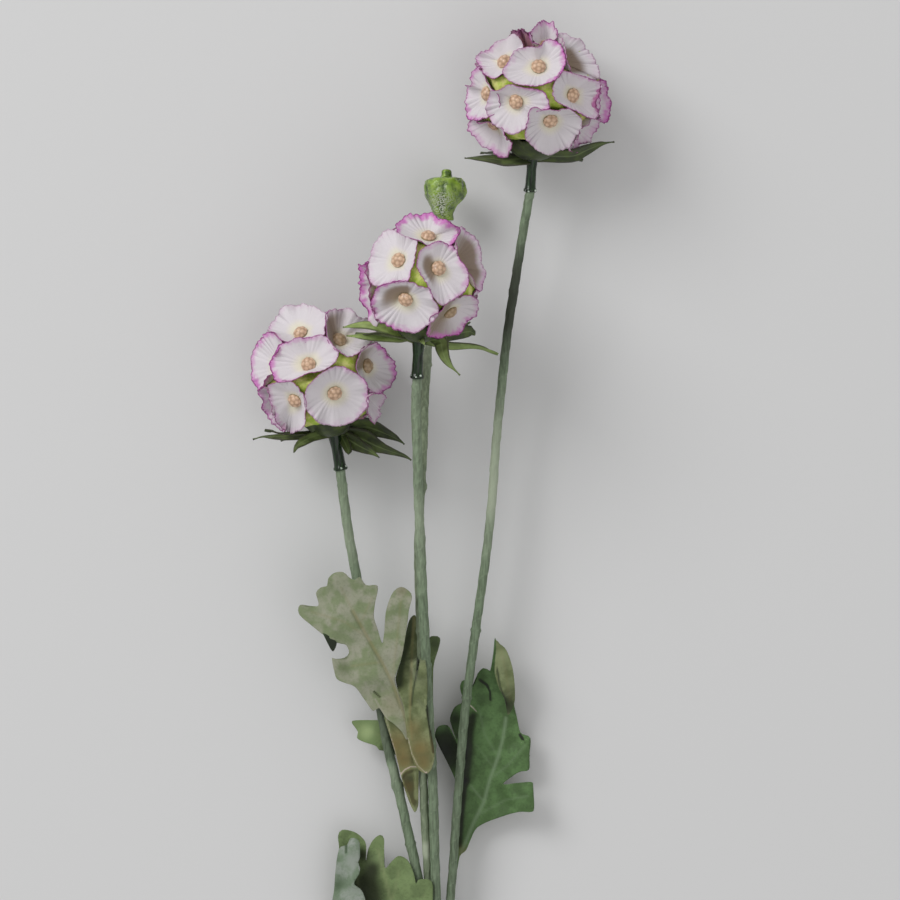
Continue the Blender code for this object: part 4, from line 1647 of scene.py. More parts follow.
@dataclass(frozen=True)
class Lamp:
    """A square soft light aimed at the heads."""

    name: str
    place: Point  # in metres in the frame
    side: float
    power: float  # in watts
    aim: Point = (0, 0.13, 0)

    def hang(self) -> None:
        """Makes the light."""
        lamp = bpy.data.lights.new(self.name, "AREA")
        lamp.shape = "SQUARE"
        lamp.size = self.side
        lamp.energy = self.power
        made = bpy.data.objects.new(self.name, lamp)
        made.location = self.place
        away = Vector(self.aim) - Vector(self.place)
        made.rotation_euler = away.to_track_quat("-Z", "Y").to_euler()
        bpy.context.scene.collection.objects.link(made)


@dataclass(frozen=True)
class Studio:
    """The pale floor, the soft light and the camera over the middle of the picture."""

    floor_colour: str = "#D6D6D6"
    floor_size: float = 6.0  # in metres
    sensor: float = 36.0
    glow: float = 0.53
    lamps: tuple[Lamp, ...] = (
        Lamp("key", (-1.5, 1.45, 1.6), 1.3, 31.0),
        Lamp("fill", (0.9, -0.9, 2.4), 2.2, 8.5),
    )

    def build(self) -> None:
        """Makes the floor, the lights and the camera."""
        self.floor()
        for lamp in self.lamps:
            lamp.hang()
        world = bpy.data.worlds.new("studio")
        world.use_nodes = True
        world.node_tree.nodes["Background"].inputs["Color"].default_value = (1, 1, 1, 1)
        world.node_tree.nodes["Background"].inputs["Strength"].default_value = self.glow
        bpy.context.scene.world = world
        bpy.context.scene.view_settings.view_transform = "Standard"
        self.camera()

    def floor(self) -> None:
        """A sheet of matt paper that the spray lies on."""
        shape = bmesh.new()
        bmesh.ops.create_grid(shape, x_segments=1, y_segments=1, size=self.floor_size / 2)
        mesh = bpy.data.meshes.new("floor")
        shape.to_mesh(mesh)
        shape.free()
        paper = {"Base Color": self.floor_colour, "Roughness": 0.95, "Specular IOR Level": 0.0}
        mesh.materials.append(Recipe("paper_backdrop_grey").shade({}, paper))
        floor = bpy.data.objects.new("floor", mesh)
        bpy.context.scene.collection.objects.link(floor)

    def camera(self) -> None:
        """A long lens straight down on the picture's middle."""
        lens = bpy.data.cameras.new("camera")
        lens.sensor_width = self.sensor
        lens.lens = self.sensor * CAMERA_RISE / (2 * PICTURE_MIDDLE * MM_PER_PIXEL)
        made = bpy.data.objects.new("camera", lens)
        made.location = PLAN_TO_FRAME @ Vector((0, 0, FOCUS_HEIGHT + CAMERA_RISE))
        bpy.context.scene.collection.objects.link(made)
        bpy.context.scene.camera = made


TOP, UPPER, MIDDLE, LOWER = Row

RIGHT_CUPS = (
    Cup(TOP, 10, 195, deep=3.0),
    Cup(UPPER, 31, 11, (
        (530, 32), (535, 27), (539.5, 22), (545, 20.3), (550.5, 21.7), (555, 26), (557.5, 32), (557, 38, -1),
        (551, 43, -2), (543, 46, -2), (535, 45, -2), (531, 39, -1),
    ), 0.5, 2.6, 330),
    Cup(UPPER, 62, -42, (
        (475, 57), (483, 52), (491, 46), (502, 39), (516, 35), (522, 43, TUCK), (519, 51, TUCK),
        (511, 65, TUCK), (503, 73), (495, 78), (486, 75), (481, 68), (477, 61),
    ), 0.4, lit_dye=240, bead=(502.7, 60.4)),
    Cup(UPPER, 64, 0, (
        (502, 71), (509, 60), (516, 50), (525, 47), (534, 48), (541, 45), (545, 40), (553, 40), (561, 44),
        (565, 55), (565, 64), (561, 74), (553, 81), (542, 85), (531, 86), (519, 84), (509, 80), (503, 75),
    ), 0.75, lit_dye=90, bead=(538.7, 65.6)),
    Cup(UPPER, 47, 68, (
        (557, 33), (566, 34), (575, 38), (584, 43), (592, 55), (598, 65), (600, 77), (595, 80, TUCK),
        (583, 79, TUCK), (572, 74, TUCK), (569, 63), (565, 48), (562, 39),
    ), 0.4, 1.8, 270, bead=(557, 58), crease=(95, 0.8, -0.1)),
    Cup(UPPER, 38, -14, (
        (510, 35, -1.5), (513, 31), (518, 32), (520, 28), (524, 31), (529, 32), (531, 37, -2), (534, 43, -3),
        (531, 50, -4), (525, 51, -4), (518, 51, -4), (513, 43, -3),
    ), 1.0, 6.0, frayed=True),
    Cup(UPPER, 56, 117), Cup(UPPER, 50, 166), Cup(UPPER, 50, 215), Cup(UPPER, 54, 268, dye=0.5),
    Cup(MIDDLE, 95, -57, (
        (465, 87), (470, 85), (472, 74), (477, 66), (482, 72), (487, 82), (492, 90, -1), (500, 97, TUCK),
        (496, 111, TUCK), (487, 118), (477, 120), (468, 119), (466, 105),
    ), 0.7, lit_dye=270, bead=(484.8, 94)),
    Cup(MIDDLE, 100, -20, (
        (490, 92), (498, 90), (506, 86), (516, 86), (524, 88), (538, 90), (546, 93), (549, 102), (548, 109),
        (537, 112, TUCK), (530, 122, TUCK), (524, 130), (513, 134), (503, 131), (494, 125), (488, 116),
        (486, 108),
    ), 0.5, lit_dye=90, bead=(515.2, 102.2)),
    Cup(MIDDLE, 90, 37, (
        (563, 71), (571, 73), (581, 75), (589, 79), (600, 82), (601, 95), (600, 110), (595, 119), (583, 115),
        (574, 110), (566, 106), (557, 102), (553, 96), (553, 88), (557, 80),
    ), 0.5, 0.4, 130, bead=(574.3, 95.7)),
    Cup(MIDDLE, 100, 77, (
        (601, 82), (606, 82), (608, 92), (611, 102), (611, 113), (607, 122), (601, 122), (598, 110),
        (599, 95),
    ), 1.1, 4.0),
    Cup(MIDDLE, 97, 105), Cup(MIDDLE, 95, 138), Cup(MIDDLE, 94, 174), Cup(MIDDLE, 95, 214),
    Cup(MIDDLE, 97, 256),
    Cup(LOWER, 117, 17, (
        (535, 108), (542, 110), (549, 109), (558, 111), (568, 109), (576, 113), (582, 121), (580, 130),
        (572, 143), (562, 151), (550, 155), (538, 151), (530, 144), (525, 136), (526, 127), (528, 118),
        (529, 112),
    ), 0.35, lit_dye=300, bead=(551, 122.2)),
    Cup(LOWER, 130, -63, (
        (469, 121), (481, 123), (492, 124), (503, 131), (509, 139), (510, 150), (506, 158), (496, 155),
        (486, 149), (479, 142), (471, 135),
    ), 0.6, 1.0, bead=(489, 127)),
    Cup(LOWER, 132, 76, (
        (581, 132), (587, 125), (594, 120), (600, 120), (599, 127), (593, 134), (590, 141), (584, 146),
        (577, 150), (572, 152), (570, 148), (575, 141),
    ), 0.45, 4.0, crease=(300, 0.9, -0.1)),
    Cup(LOWER, 131, 140), Cup(LOWER, 131, 195), Cup(LOWER, 132, 244),
)
CENTRE_CUPS = (
    Cup(TOP, 12, 190, deep=2.0),
    Cup(UPPER, 40, 6, (
        (395, 226), (401, 219), (409, 215), (420, 213), (433, 214), (443, 220), (453, 224), (460, 227),
        (459, 236), (453, 243), (441, 246, TUCK), (431, 247, TUCK), (422, 244), (416, 241), (409, 236),
        (400, 234),
    ), 2.1, 1.2, 20, bead=(428.6, 234.5)),
    Cup(UPPER, 50, 112), Cup(UPPER, 50, 165), Cup(UPPER, 50, 218), Cup(UPPER, 50, 284),
    Cup(MIDDLE, 69, -26, (
        (368, 267), (370, 255), (376, 241), (383, 232), (392, 229), (398, 233), (406, 236), (415, 240),
        (416, 248), (415, 261), (410, 271), (409, 280), (397, 282), (384, 284), (376, 286), (371, 282),
        (368, 275),
    ), 0.35, lit_dye=190, bead=(397.3, 259.5)),
    Cup(MIDDLE, 74, 16, (
        (421, 250), (431, 244), (441, 241), (450, 245), (457, 252), (463, 263), (468, 272), (469, 282),
        (465, 292), (455, 299), (445, 305), (438, 302), (431, 292), (424, 280), (418, 267), (418, 257),
    ), 0.6, 0.8, 60, bead=(439.3, 268), crease=(265, 0.85, -0.1)),
    Cup(MIDDLE, 64, 59, (
        (460, 227), (470, 233), (479, 243), (482, 256), (484, 269), (485, 280), (481, 291), (476, 285, -1),
        (470, 275, TUCK), (463, 265, TUCK), (457, 252), (456, 241),
    ), 0.35, 2.2, 90, bead=(452, 263), crease=(95, 1.0, -0.5)),
    Cup(MIDDLE, 88, 103), Cup(MIDDLE, 90, 146), Cup(MIDDLE, 90, 189), Cup(MIDDLE, 88, 231),
    Cup(MIDDLE, 70, 262, deep=3.5),
    Cup(LOWER, 106, -15, (
        (371, 304), (373, 294), (378, 287), (388, 283), (401, 281), (412, 283), (420, 287), (430, 289),
        (433, 296), (437, 304), (438, 313), (432, 322), (422, 330), (411, 333), (401, 332), (389, 327),
        (378, 320), (372, 313),
    ), 0.75, 0.6, 250, bead=(404.9, 300.5), crease=(320, 0.85, -0.1)),
    Cup(LOWER, 120, 33, (
        (426, 334), (431, 322), (437, 312), (444, 306), (455, 299), (465, 296), (474, 297), (479, 303),
        (476, 315), (468, 325), (457, 333), (444, 338), (434, 338),
    ), 0.9, 1.8, 200, bead=(451.7, 313.8), crease=(290, 1.3, -1.3)),
    Cup(LOWER, 104, -72, (
        (358, 268), (359, 264), (362, 266), (366, 262), (367, 276), (369, 292), (371, 306), (377, 323),
        (375, 330), (371, 326), (366, 315), (362, 303), (360, 290), (359, 278),
    ), 1.3, 3.5),
    Cup(LOWER, 127, 92), Cup(LOWER, 130, 150), Cup(LOWER, 130, 205), Cup(LOWER, 124, 246),
)
LEFT_CUPS = (
    Cup(TOP, 10, 150, deep=3.5),
    Cup(UPPER, 42, -23, (
        (268, 330), (274, 318), (283, 309), (296, 304), (310, 305), (322, 311), (327, 316), (324, 326),
        (325, 335), (315, 340, TUCK), (302, 343, TUCK), (291, 342, TUCK), (281, 339), (275, 333),
    ), 0.2, lit_dye=270, bead=(299.6, 331.3)),
    Cup(UPPER, 58, 25, (
        (327, 312), (338, 309), (347, 308), (355, 313), (362, 317), (372, 321), (377, 331), (371, 342),
        (360, 351), (348, 357), (339, 353), (332, 345), (327, 333), (325, 323),
    ), 0.35, 1.8, 270, bead=(340.1, 338.4), crease=(285, 1.05, -0.4)),
    Cup(UPPER, 55, 80), Cup(UPPER, 52, 135), Cup(UPPER, 50, 195), Cup(UPPER, 40, 256),
    Cup(MIDDLE, 77, -13, (
        (269, 365), (271, 359), (276, 351), (280, 344), (289, 341), (299, 338), (310, 337), (322, 335),
        (329, 338), (333, 346), (338, 352), (336, 361), (329, 367), (320, 371), (309, 373), (301, 376),
        (293, 380), (283, 382), (276, 381), (272, 374),
    ), 0.65, lit_dye=270, bead=(307.9, 364.3)),
    Cup(MIDDLE, 75, -68, (
        (251, 360), (254, 347), (261, 338), (268, 332), (276, 335), (281, 341), (277, 353), (272, 362, TUCK),
        (273, 372, TUCK), (266, 377), (262, 388), (256, 390), (252, 375),
    ), 0.8, 1.0, 270, bead=(280, 367)),
    Cup(MIDDLE, 90, 49, (
        (376, 342), (383, 348), (391, 357), (396, 369), (396, 378), (389, 388), (381, 393), (372, 393),
        (367, 385), (360, 376, -1), (355, 368), (357, 359), (364, 349),
    ), 0.9, 1.8, 80, bead=(369.3, 365.8), crease=(300, 1.0, -0.5)),
    Cup(MIDDLE, 94, 92), Cup(MIDDLE, 92, 132), Cup(MIDDLE, 92, 170), Cup(MIDDLE, 92, 209),
    Cup(MIDDLE, 76, 250),
    Cup(LOWER, 110, 8, (
        (305, 397), (307, 388), (314, 379), (322, 372), (335, 368), (346, 368), (357, 373), (365, 381),
        (368, 390), (369, 401), (365, 411), (357, 419), (346, 425), (333, 426), (322, 425), (314, 418),
        (307, 412), (305, 404),
    ), 0.4, lit_dye=90, bead=(335.2, 394.2)),
    Cup(LOWER, 111, -36, (
        (269, 384), (283, 382), (294, 383), (301, 390), (305, 398), (305, 412), (305, 423), (300, 430),
        (289, 433), (280, 427), (274, 414), (269, 398), (268, 387),
    ), 0.35, lit_dye=250, bead=(293.7, 401.8)),
    Cup(LOWER, 112, -78, (
        (258, 391), (262, 387), (267, 389), (269, 393), (270, 403), (274, 415), (278, 425), (286, 430),
        (284, 434), (276, 429), (271, 421), (264, 412), (261, 399),
    ), 0.6, 3.5),
    Cup(LOWER, 118, 66, (
        (369, 396), (376, 393), (384, 395), (384, 404), (379, 413), (377, 423), (371, 420), (368, 408),
    ), 0.3, 4.0, crease=(300, 1.1, -0.1)),
    Cup(LOWER, 132, 96), Cup(LOWER, 130, 140), Cup(LOWER, 130, 185), Cup(LOWER, 131, 234),
)


RIGHT_BRACTS = (
    SeenBract((
        (530, 158, 6), (515, 159, 6.5), (505, 160, 5.8), (495, 159, 4.4), (485, 158, 3.2), (475, 158, 1.8),
        (464.5, 158.2, 0.3),
    ), -1, 50, 0.1),
    SeenBract((
        (534, 157, 5), (545, 156, 6), (562, 156.5, 6.2), (575, 155.6, 6), (584, 151.5, 5), (592, 148, 3.8),
        (600, 144.5, 2.1), (607, 142.8, 1), (614.4, 141.8, 0.3),
    ), 1, 50),
)
CENTRE_BRACTS = (
    SeenBract((
        (415, 339, 4), (400, 333, 5), (385, 328, 4.5), (370, 325, 3.8), (362, 324.6, 3.4), (352, 325.7, 2.1),
        (343.3, 327.4, 0.3),
    ), 8, 40, 1.0),
    SeenBract((
        (420, 339, 3), (410, 336, 4.5), (400, 336.5, 5.5), (390, 336.5, 5), (378, 336.6, 4),
        (366, 336.1, 3.4), (355, 335.9, 1.7), (346.5, 336, 0.3),
    ), 0, 40, 0.95),
    SeenBract(((416, 333, 4.5), (419.5, 336.5, 4.2), (422, 340.5, 2.6), (424.5, 344.5, 0.5)), 13, 20, 0.8),
    SeenBract((
        (426, 336, 4), (434, 337, 6), (440.5, 342, 7), (442, 349, 6.2), (444.5, 356.5, 4.6),
        (448.5, 363.5, 2.9), (454, 369.3, 1.2), (459.8, 374.8, 0.3),
    ), 12, 15, 0.35),
    SeenBract((
        (426, 340, 4), (438, 343, 4), (450, 345.5, 3.8), (460, 345.8, 3.4), (472, 346, 2.6),
        (483, 347.8, 1.7), (491, 351.3, 0.9), (498, 354.2, 0.3),
    ), -3, 45, 0.6),
    SeenBract((
        (432, 340, 3), (442, 338, 4), (453, 335.5, 5), (462, 332.8, 6), (469, 331.5, 5.6), (473, 333, 3.2),
        (475, 335.5, 0.4),
    ), -12, 30, 0.1),
)
LEFT_BRACTS = (
    SeenBract((
        (336, 433, 4), (325, 433, 4.5), (310, 434.5, 4.2), (297, 435.5, 3.6), (285, 436.3, 3.2),
        (273, 436.5, 2), (262, 436.8, 0.9), (252.8, 439.6, 0.3),
    ), -1, 45, 0.15),
    SeenBract((
        (322, 433, 2), (295, 433.6, 1.5), (280, 433.2, 1), (272, 431.5, 0.7), (264.5, 430.2, 0.3),
    ), 8, 45),
    SeenBract((
        (333, 432, 4), (322, 434.5, 4.5), (312, 437, 4.5), (303, 441.5, 4.2), (297, 446, 2.7),
        (294, 452, 0.8),
    ), 20, 15, 0.2),
    SeenBract((
        (344, 431, 6), (354, 428, 9), (365, 427, 9), (375, 429.5, 7.5), (385, 433.5, 5), (394, 437.5, 3),
        (400, 440.8, 1.6), (404.6, 444.4, 0.3),
    ), -1, 35),
    SeenBract((
        (340, 432, 5), (352, 436, 9), (364, 440, 10), (374, 445, 7.5), (384, 449, 4.4), (394, 452.5, 3),
        (404, 455.8, 2), (411.3, 460, 0.4),
    ), 4, 15),
    SeenBract(((343, 436, 6), (354, 443, 7.5), (363, 448, 5), (372, 452.5, 2.6), (379, 457.2, 0.4)), 11, 15),
    SeenBract(((342, 437, 5), (346, 445, 4.4), (348.5, 451, 3), (349, 454, 1.0)), 8, 10),
)


RIGHT_BACK = (Bract(132, 26, 1), Bract(180, 25, 0), Bract(226, 26, 1))
CENTRE_BACK = (Bract(134, 27, 5, 0.2), Bract(180, 22, 0, 0.3), Bract(226, 24, 0, 0.3), Bract(266, 24, 1, 0.3))
LEFT_BACK = (Bract(150, 26, 0), Bract(196, 25, 0), Bract(236, 26, 0))


def spray_heads(maker: Maker) -> list[Head]:
    """The three heads, from the tip of the spray down.

    Args:
        maker: what makes their pieces.

    Returns:
        The heads.
    """
    right = Head(
        "right", (33.1, 136.8, 27.5), 4, 3, RIGHT_CUPS, RIGHT_BACK, maker, RIGHT_BRACTS,
        reach=25.4, whorl_depth=26.0, neck_radius=2.05,
    )
    centre = Head(
        "centre", (-10.5, 65.3, 52.0), 3, 8, CENTRE_CUPS, CENTRE_BACK, maker, CENTRE_BRACTS,
        size=0.885, reach=22.4, whorl_depth=24.2, neck_radius=2.15,
    )
    left = Head(
        "left", (-48.3, 30.4, 27.5), -10, 5, LEFT_CUPS, LEFT_BACK, maker, LEFT_BRACTS,
        reach=26.0, whorl_depth=24.8, neck_radius=2.25,
    )
    return [right, centre, left]


LEFT_LINE = (
    (-41.6, -8.6, 24.0), (-40.4, -19.0, 23.2), (-38.5, -32.8, 22.2), (-36.4, -44.2, 21.4),
    (-33.6, -61.0, 20.0), (-30.2, -80.2, 18.6), (-26.4, -99.3, 17.3), (-23.5, -114.7, 16.2),
    (-19.5, -130.8, 15.0), (-16.1, -146.2, 14.1), (-13.0, -160.0, 13.6), (-10.7, -172.2, 13.4),
    (-7.5, -189.2, 12.0),
)
CENTRE_LINE = (
    (-12.4, 26.2, 46.0), (-12.8, 15.1, 43.5), (-12.3, -1.9, 40.0), (-11.9, -18.9, 36.8), (-11.2, -34.5, 34.0),
    (-10.4, -55.8, 30.0), (-9.5, -72.2, 27.6), (-8.6, -89.4, 25.2), (-7.6, -108.6, 22.4),
    (-6.5, -129.7, 19.5), (-5.9, -152.0, 17.4), (-5.2, -172.1, 15.3), (-3.8, -189.0, 14.3),
)
RIGHT_LINE = (
    (30.4, 97.6, 25.4), (28.5, 87.2, 24.9), (25.1, 65.9, 23.9), (21.9, 44.6, 22.9), (19.6, 23.3, 21.9),
    (17.5, 1.9, 20.9), (16.0, -19.5, 19.9), (13.7, -40.8, 18.9), (10.7, -62.3, 17.9), (7.8, -83.7, 16.9),
    (5.4, -103.2, 16.0), (3.8, -122.4, 15.1), (2.3, -141.6, 14.2), (1.1, -160.0, 13.4), (0.0, -174.2, 12.7),
    (-0.2, -189.2, 12.0),
)
BUD_LINE = (
    (-1.3, 86.6, 17.0), (-2.1, 76.4, 17.5), (-5.0, 57.3, 18.0), (-8.2, 40.8, 19.5), (-8.8, 32.4, 22.0),
    (-9.7, 19.0, 27.0), (-10.1, 3.8, 31.5), (-11.0, -14.4, 33.4), (-12.0, -36.1, 29.8), (-11.6, -55.9, 26.2),
    (-10.9, -76.2, 22.9), (-10.5, -95.4, 20.3), (-10.3, -118.4, 18.0), (-9.9, -133.7, 17.0),
    (-9.0, -152.2, 14.8), (-7.5, -172.0, 11.3), (-3.8, -189.4, 9.6),
)
MAIN_LINE = (
    (-3.7, -203.0, 11.7), (-3.5, -222.0, 11.2), (-3.3, -250.0, 10.2), (-3.1, -287.8, 8.5),
    (-2.8, -330.0, 6.4), (-2.7, -380.0, 4.4), (-2.7, -421.8, 3.6),
)


LEFT_KNOTS = ((7, 0.25, 0.6), (52, 0.25, 0.7), (124, 0.55, 1.8), (147, 0.35, 0.6))
CENTRE_KNOTS = ((4.5, 0.3, 0.6), (63, 0.2, 0.7), (112, 0.4, 0.5), (143, 0.55, 1.6), (150, 0.3, 0.8))
RIGHT_KNOTS = (
    (3, 0.25, 0.6), (40, 0.22, 0.7), (96, 0.22, 0.6), (170, 0.45, 0.6), (196, 0.5, 0.8), (221, 0.25, 0.6),
)
BUD_KNOTS = ((56, 0.5, 0.6), (104, 0.75, 1.5), (160, 0.3, 0.8))
MAIN_KNOTS = ((8, 0.3, 1.2), (76, 0.35, 1.2), (150, 0.3, 1.2))
# Tones along each stem: painted shade where it lies in shadow, painted light where it is lit, and a few pale
# collars of the tape's own.
LEFT_TONES = (
    (0, 0.1), (20, 0.2), (28, 0.35), (40, 0.1), (84, 0.0), (94, -0.6), (112, -0.5), (117, 0.25), (124, 0.1),
    (133, 0.0), (150, -0.1),
)
CENTRE_TONES = ((0, 0.15), (40, 0.1), (54, 0.35), (70, 0.15), (85, 0.0), (99, -0.1), (130, 0.0), (160, -0.1))
RIGHT_TONES = (
    (0, 0.1), (10, 0.0), (18, -0.2), (28, -0.85), (34, -1.0), (52, -1.0), (62, -0.5), (70, 0.0), (80, 0.2),
    (94, 0.55), (121, 0.75), (132, 0.25), (150, 0.0), (170, -0.05), (200, -0.15), (262, -0.2),
)
BUD_TONES = (
    (0, 0.0), (20, 0.3), (35, 0.1), (43, 0.8), (52, 0.2), (70, 0.0), (150, -0.2), (228, -0.1), (240, 0.0),
    (243, 0.7), (246, 0.7), (249, 0.0),
)


def spray_stems(finishes: Finishes) -> list[Stem]:
    """The four branch stems and the main stem.

    Args:
        finishes: gives their tapes.

    Returns:
        The stems.
    """
    sage, grey = finishes.tape, finishes.old_tape
    return [
        Stem("left_stem", LEFT_LINE, 1.85, sage, LEFT_KNOTS, tones=LEFT_TONES, into=2.0),
        Stem("centre_stem", CENTRE_LINE, 1.85, sage, CENTRE_KNOTS, tones=CENTRE_TONES, into=2.0),
        Stem("right_stem", RIGHT_LINE, 1.7, sage, RIGHT_KNOTS, tones=RIGHT_TONES, into=2.0),
        Stem("bud_stem", BUD_LINE, 1.65, grey, BUD_KNOTS, tones=BUD_TONES, into=0.8),
        Stem("main_stem", MAIN_LINE, 3.3, sage, MAIN_KNOTS, pitch=12.0, sides=28),
    ]


@dataclass(frozen=True)
class Joint:
    """The wrapped joint where the branches meet the main stem."""

    top: Point = (-3.7, -190.0, 11.9)
    pitch: float = 4.5  # of the tape
    profile: tuple[Place, ...] = (
        (0, 0), (5.0, 0), (5.9, -0.5), (6.2, -1.4), (6.1, -3.4), (5.6, -6.0), (4.6, -9.4), (3.9, -11.4),
        (3.5, -12.6), (0, -12.6),
    )

    def build(self, maker: Maker) -> None:
        """Turns the joint and folds the tape round it.

        Args:
            maker: what makes the piece.
        """
        shape = spun(self.profile, 40)
        refine(shape, 1.2)
        lap = held(shape, "lap", "tone")[0]
        for corner in shape.verts:
            turn = math.atan2(corner.co.y, corner.co.x)
            climb = (corner.co.z / self.pitch + turn / math.tau) % 1.0
            corner[lap] = climb
            fold = 0.35 * smooth(climb, 0.0, 0.9) + 0.12 * math.sin(4 * turn)
            fold += 0.2 * noise.noise(corner.co * 0.5)
            corner.co.xy *= 1 + 0.07 * (fold - 0.3)
        bmesh.ops.transform(shape, matrix=laid_along(Vector((0, 1, 0)), Vector(self.top)), verts=shape.verts)
        maker.piece("joint_wrapping", shape, Slot.STEM, [maker.finishes.tape], ["stem_joint"])


@dataclass(frozen=True)
class Bud:
    """The moulded bud: a swollen heart with folds down its sides and a nub at its tip."""

    foot: Point = (-0.9, 87.6, 17.0)
    turn: float = -3.0
    profile: tuple[Place, ...] = (
        (0, 0), (2.2, 0), (3.2, 1.8), (4.2, 3.6), (5.0, 5.5), (6.3, 7.2), (7.5, 9.0), (7.95, 10.4),
        (8.0, 11.8), (7.85, 13.6), (7.2, 15.2), (5.9, 16.2), (4.2, 16.6), (2.7, 16.6), (2.1, 17.1),
        (1.95, 17.9), (1.95, 18.8), (1.6, 19.4), (0.9, 19.7), (0, 19.75),
    )

    def build(self, maker: Maker) -> None:
        """Turns the bud and presses its folds in.

        Args:
            maker: what makes the piece.
        """
        shape = spun(self.profile, 72)
        refine(shape, 0.8)
        fold, frost = held(shape, "fold", "frost")
        for corner in shape.verts:
            turn = math.atan2(corner.co.y, corner.co.x)
            high = corner.co.z
            body = smooth(high, 1.0, 7.0) * (1 - smooth(high, 15.5, 17.0))
            wave = 0.6 * math.sin(6 * turn + 0.1 * high) + 0.3 * math.sin(9 * turn + 1.3)
            lump = noise.noise(corner.co * 0.42) + 0.5 * noise.noise(corner.co * 0.95)
            corner[fold] = wave * 0.7 + lump
            corner[frost] = math.exp(-(((high - 6.0) / 4.2) ** 2) - ((turn - 1.85) / 0.7) ** 2)
            corner.co.xy *= 1 + (0.045 * wave + 0.05 * lump) * body
            corner.co.z += 0.5 * body * lump
            upper = smooth(high, 4.0, 9.0)
            corner.co.x -= 1.4 * smooth(high, 0.0, 3.0) * (1 - upper) + 0.35 * upper
            corner.co.x += 0.9 * smooth(high, 15.5, 17.5)
            corner.co.z -= 0.05 * corner.co.x * smooth(high, 8.0, 14.0)
        turn = math.radians(self.turn)
        up, direction = Vector((0, 0, 1)), Vector((math.sin(turn), math.cos(turn), 0))
        axes = Matrix((direction.cross(up), up, direction)).transposed().to_4x4()
        place = Matrix.Translation(Vector(self.foot)) @ axes
        bmesh.ops.transform(shape, matrix=place, verts=shape.verts)
        bmesh.ops.recalc_face_normals(shape, faces=shape.faces)
        maker.piece("bud_moulding", shape, Slot.BUD, [maker.finishes.bud], ["bud"])


FRONT_LEAF = Leaf(
    "front_leaf_cloth", Slot.PALE_LEAF, Side.SAGE, Side.GREEN,
    outline=(
        (325, 636), (311, 625), (299, 614), (300, 605), (310, 606), (318, 606), (318, 601), (316, 593),
        (320, 588), (327, 586), (328, 579), (334, 573), (343, 572), (350, 578), (355, 580), (360, 577),
        (366, 585), (376, 585), (378, 589), (375, 604), (374, 617), (378, 630), (382, 643), (384, 635),
        (386, 612), (390, 598), (395, 590), (402, 587), (409, 591), (412, 597), (409, 610), (407, 626),
        (402, 656), (395, 679), (399, 692), (405, 706), (410, 718), (410, 730), (407, 740), (402, 732),
        (394, 724), (386, 718), (379, 708), (373, 711), (364, 699), (355, 687), (345, 683), (337, 679),
        (334, 670), (332, 658), (336, 659), (344, 658), (349, 653), (346, 645), (338, 643),
    ),
    heights=(
        (-42, -47, 33), (-37, -61, 31), (-26, -81, 28), (-56, -61, 27), (-44, -82, 25), (-15, -54, 30),
        (-19, -76, 28), (-28, -98, 22.5), (-19, -105, 24), (-17, -110, 23.5),
    ),
    replaces=("front_leaf",),
    ribs=(
        (((353, 611), (368, 638), (382, 662), (392, 682), (402, 708), (407, 725), (408, 738)), 1.5, 0.75),
        (((353, 611), (341, 588)), 1.3, 0.25), (((360, 624), (372, 598)), 1.3, 0.25),
        (((368, 638), (345, 622), (312, 612)), 1.4, 0.3), (((382, 662), (352, 666)), 1.4, 0.35),
        (((392, 682), (397, 640), (401, 600)), 1.4, 0.3),
    ),
    patches=(
        Patch(350, 608, 18, -0.25), Patch(342, 593, 12, 0.2), Patch(360, 655, 16, 0.3),
        Patch(395, 620, 14, 0.2), Patch(402, 590, 7, -0.35, 0.3), Patch(345, 670, 14, -0.15),
        Patch(392, 705, 14, -0.1, 0.25), Patch(324, 607, 10, 0.5), Patch(352, 600, 9, 0.45),
        Patch(372, 655, 12, -0.4), Patch(345, 668, 9, -0.5), Patch(398, 612, 9, -0.4),
        Patch(330, 585, 8, -0.3), Patch(384, 690, 8, 0.4), Patch(395, 655, 9, 0.35),
    ),
    shades=(
        (((351, 611), (366, 638), (380, 662), (390, 682), (400, 708)), 1.2, -0.55),
        (((384, 662), (394, 683), (404, 710), (408, 737)), 1.0, 0.9), (((374, 691.5), (380, 697)), 0.9, -2.2),
        (((375, 699), (386, 718), (396, 729), (406, 739)), 0.9, 1.2), (((300, 605), (313, 607)), 0.9, -0.7),
        (((349, 653), (346, 658), (337, 658)), 1.3, -0.7), (((326, 577), (322, 590)), 1.2, 0.6),
    ),
    grid=0.5,
)
FRONT_LEAF_CURL = Leaf(
    "front_leaf_curl", Slot.PALE_LEAF, Side.GREEN, Side.SAGE,
    outline=((323, 633), (329, 636), (336, 640), (336.5, 645), (333, 651.5), (329, 646), (326, 640)),
    heights=((-46, -73, 27.0), (-43, -76, 26.0), (-46, -70, 27.5)),
    patches=(Patch(331, 643, 12, -1.4),),
    ruffle=0.2,
)
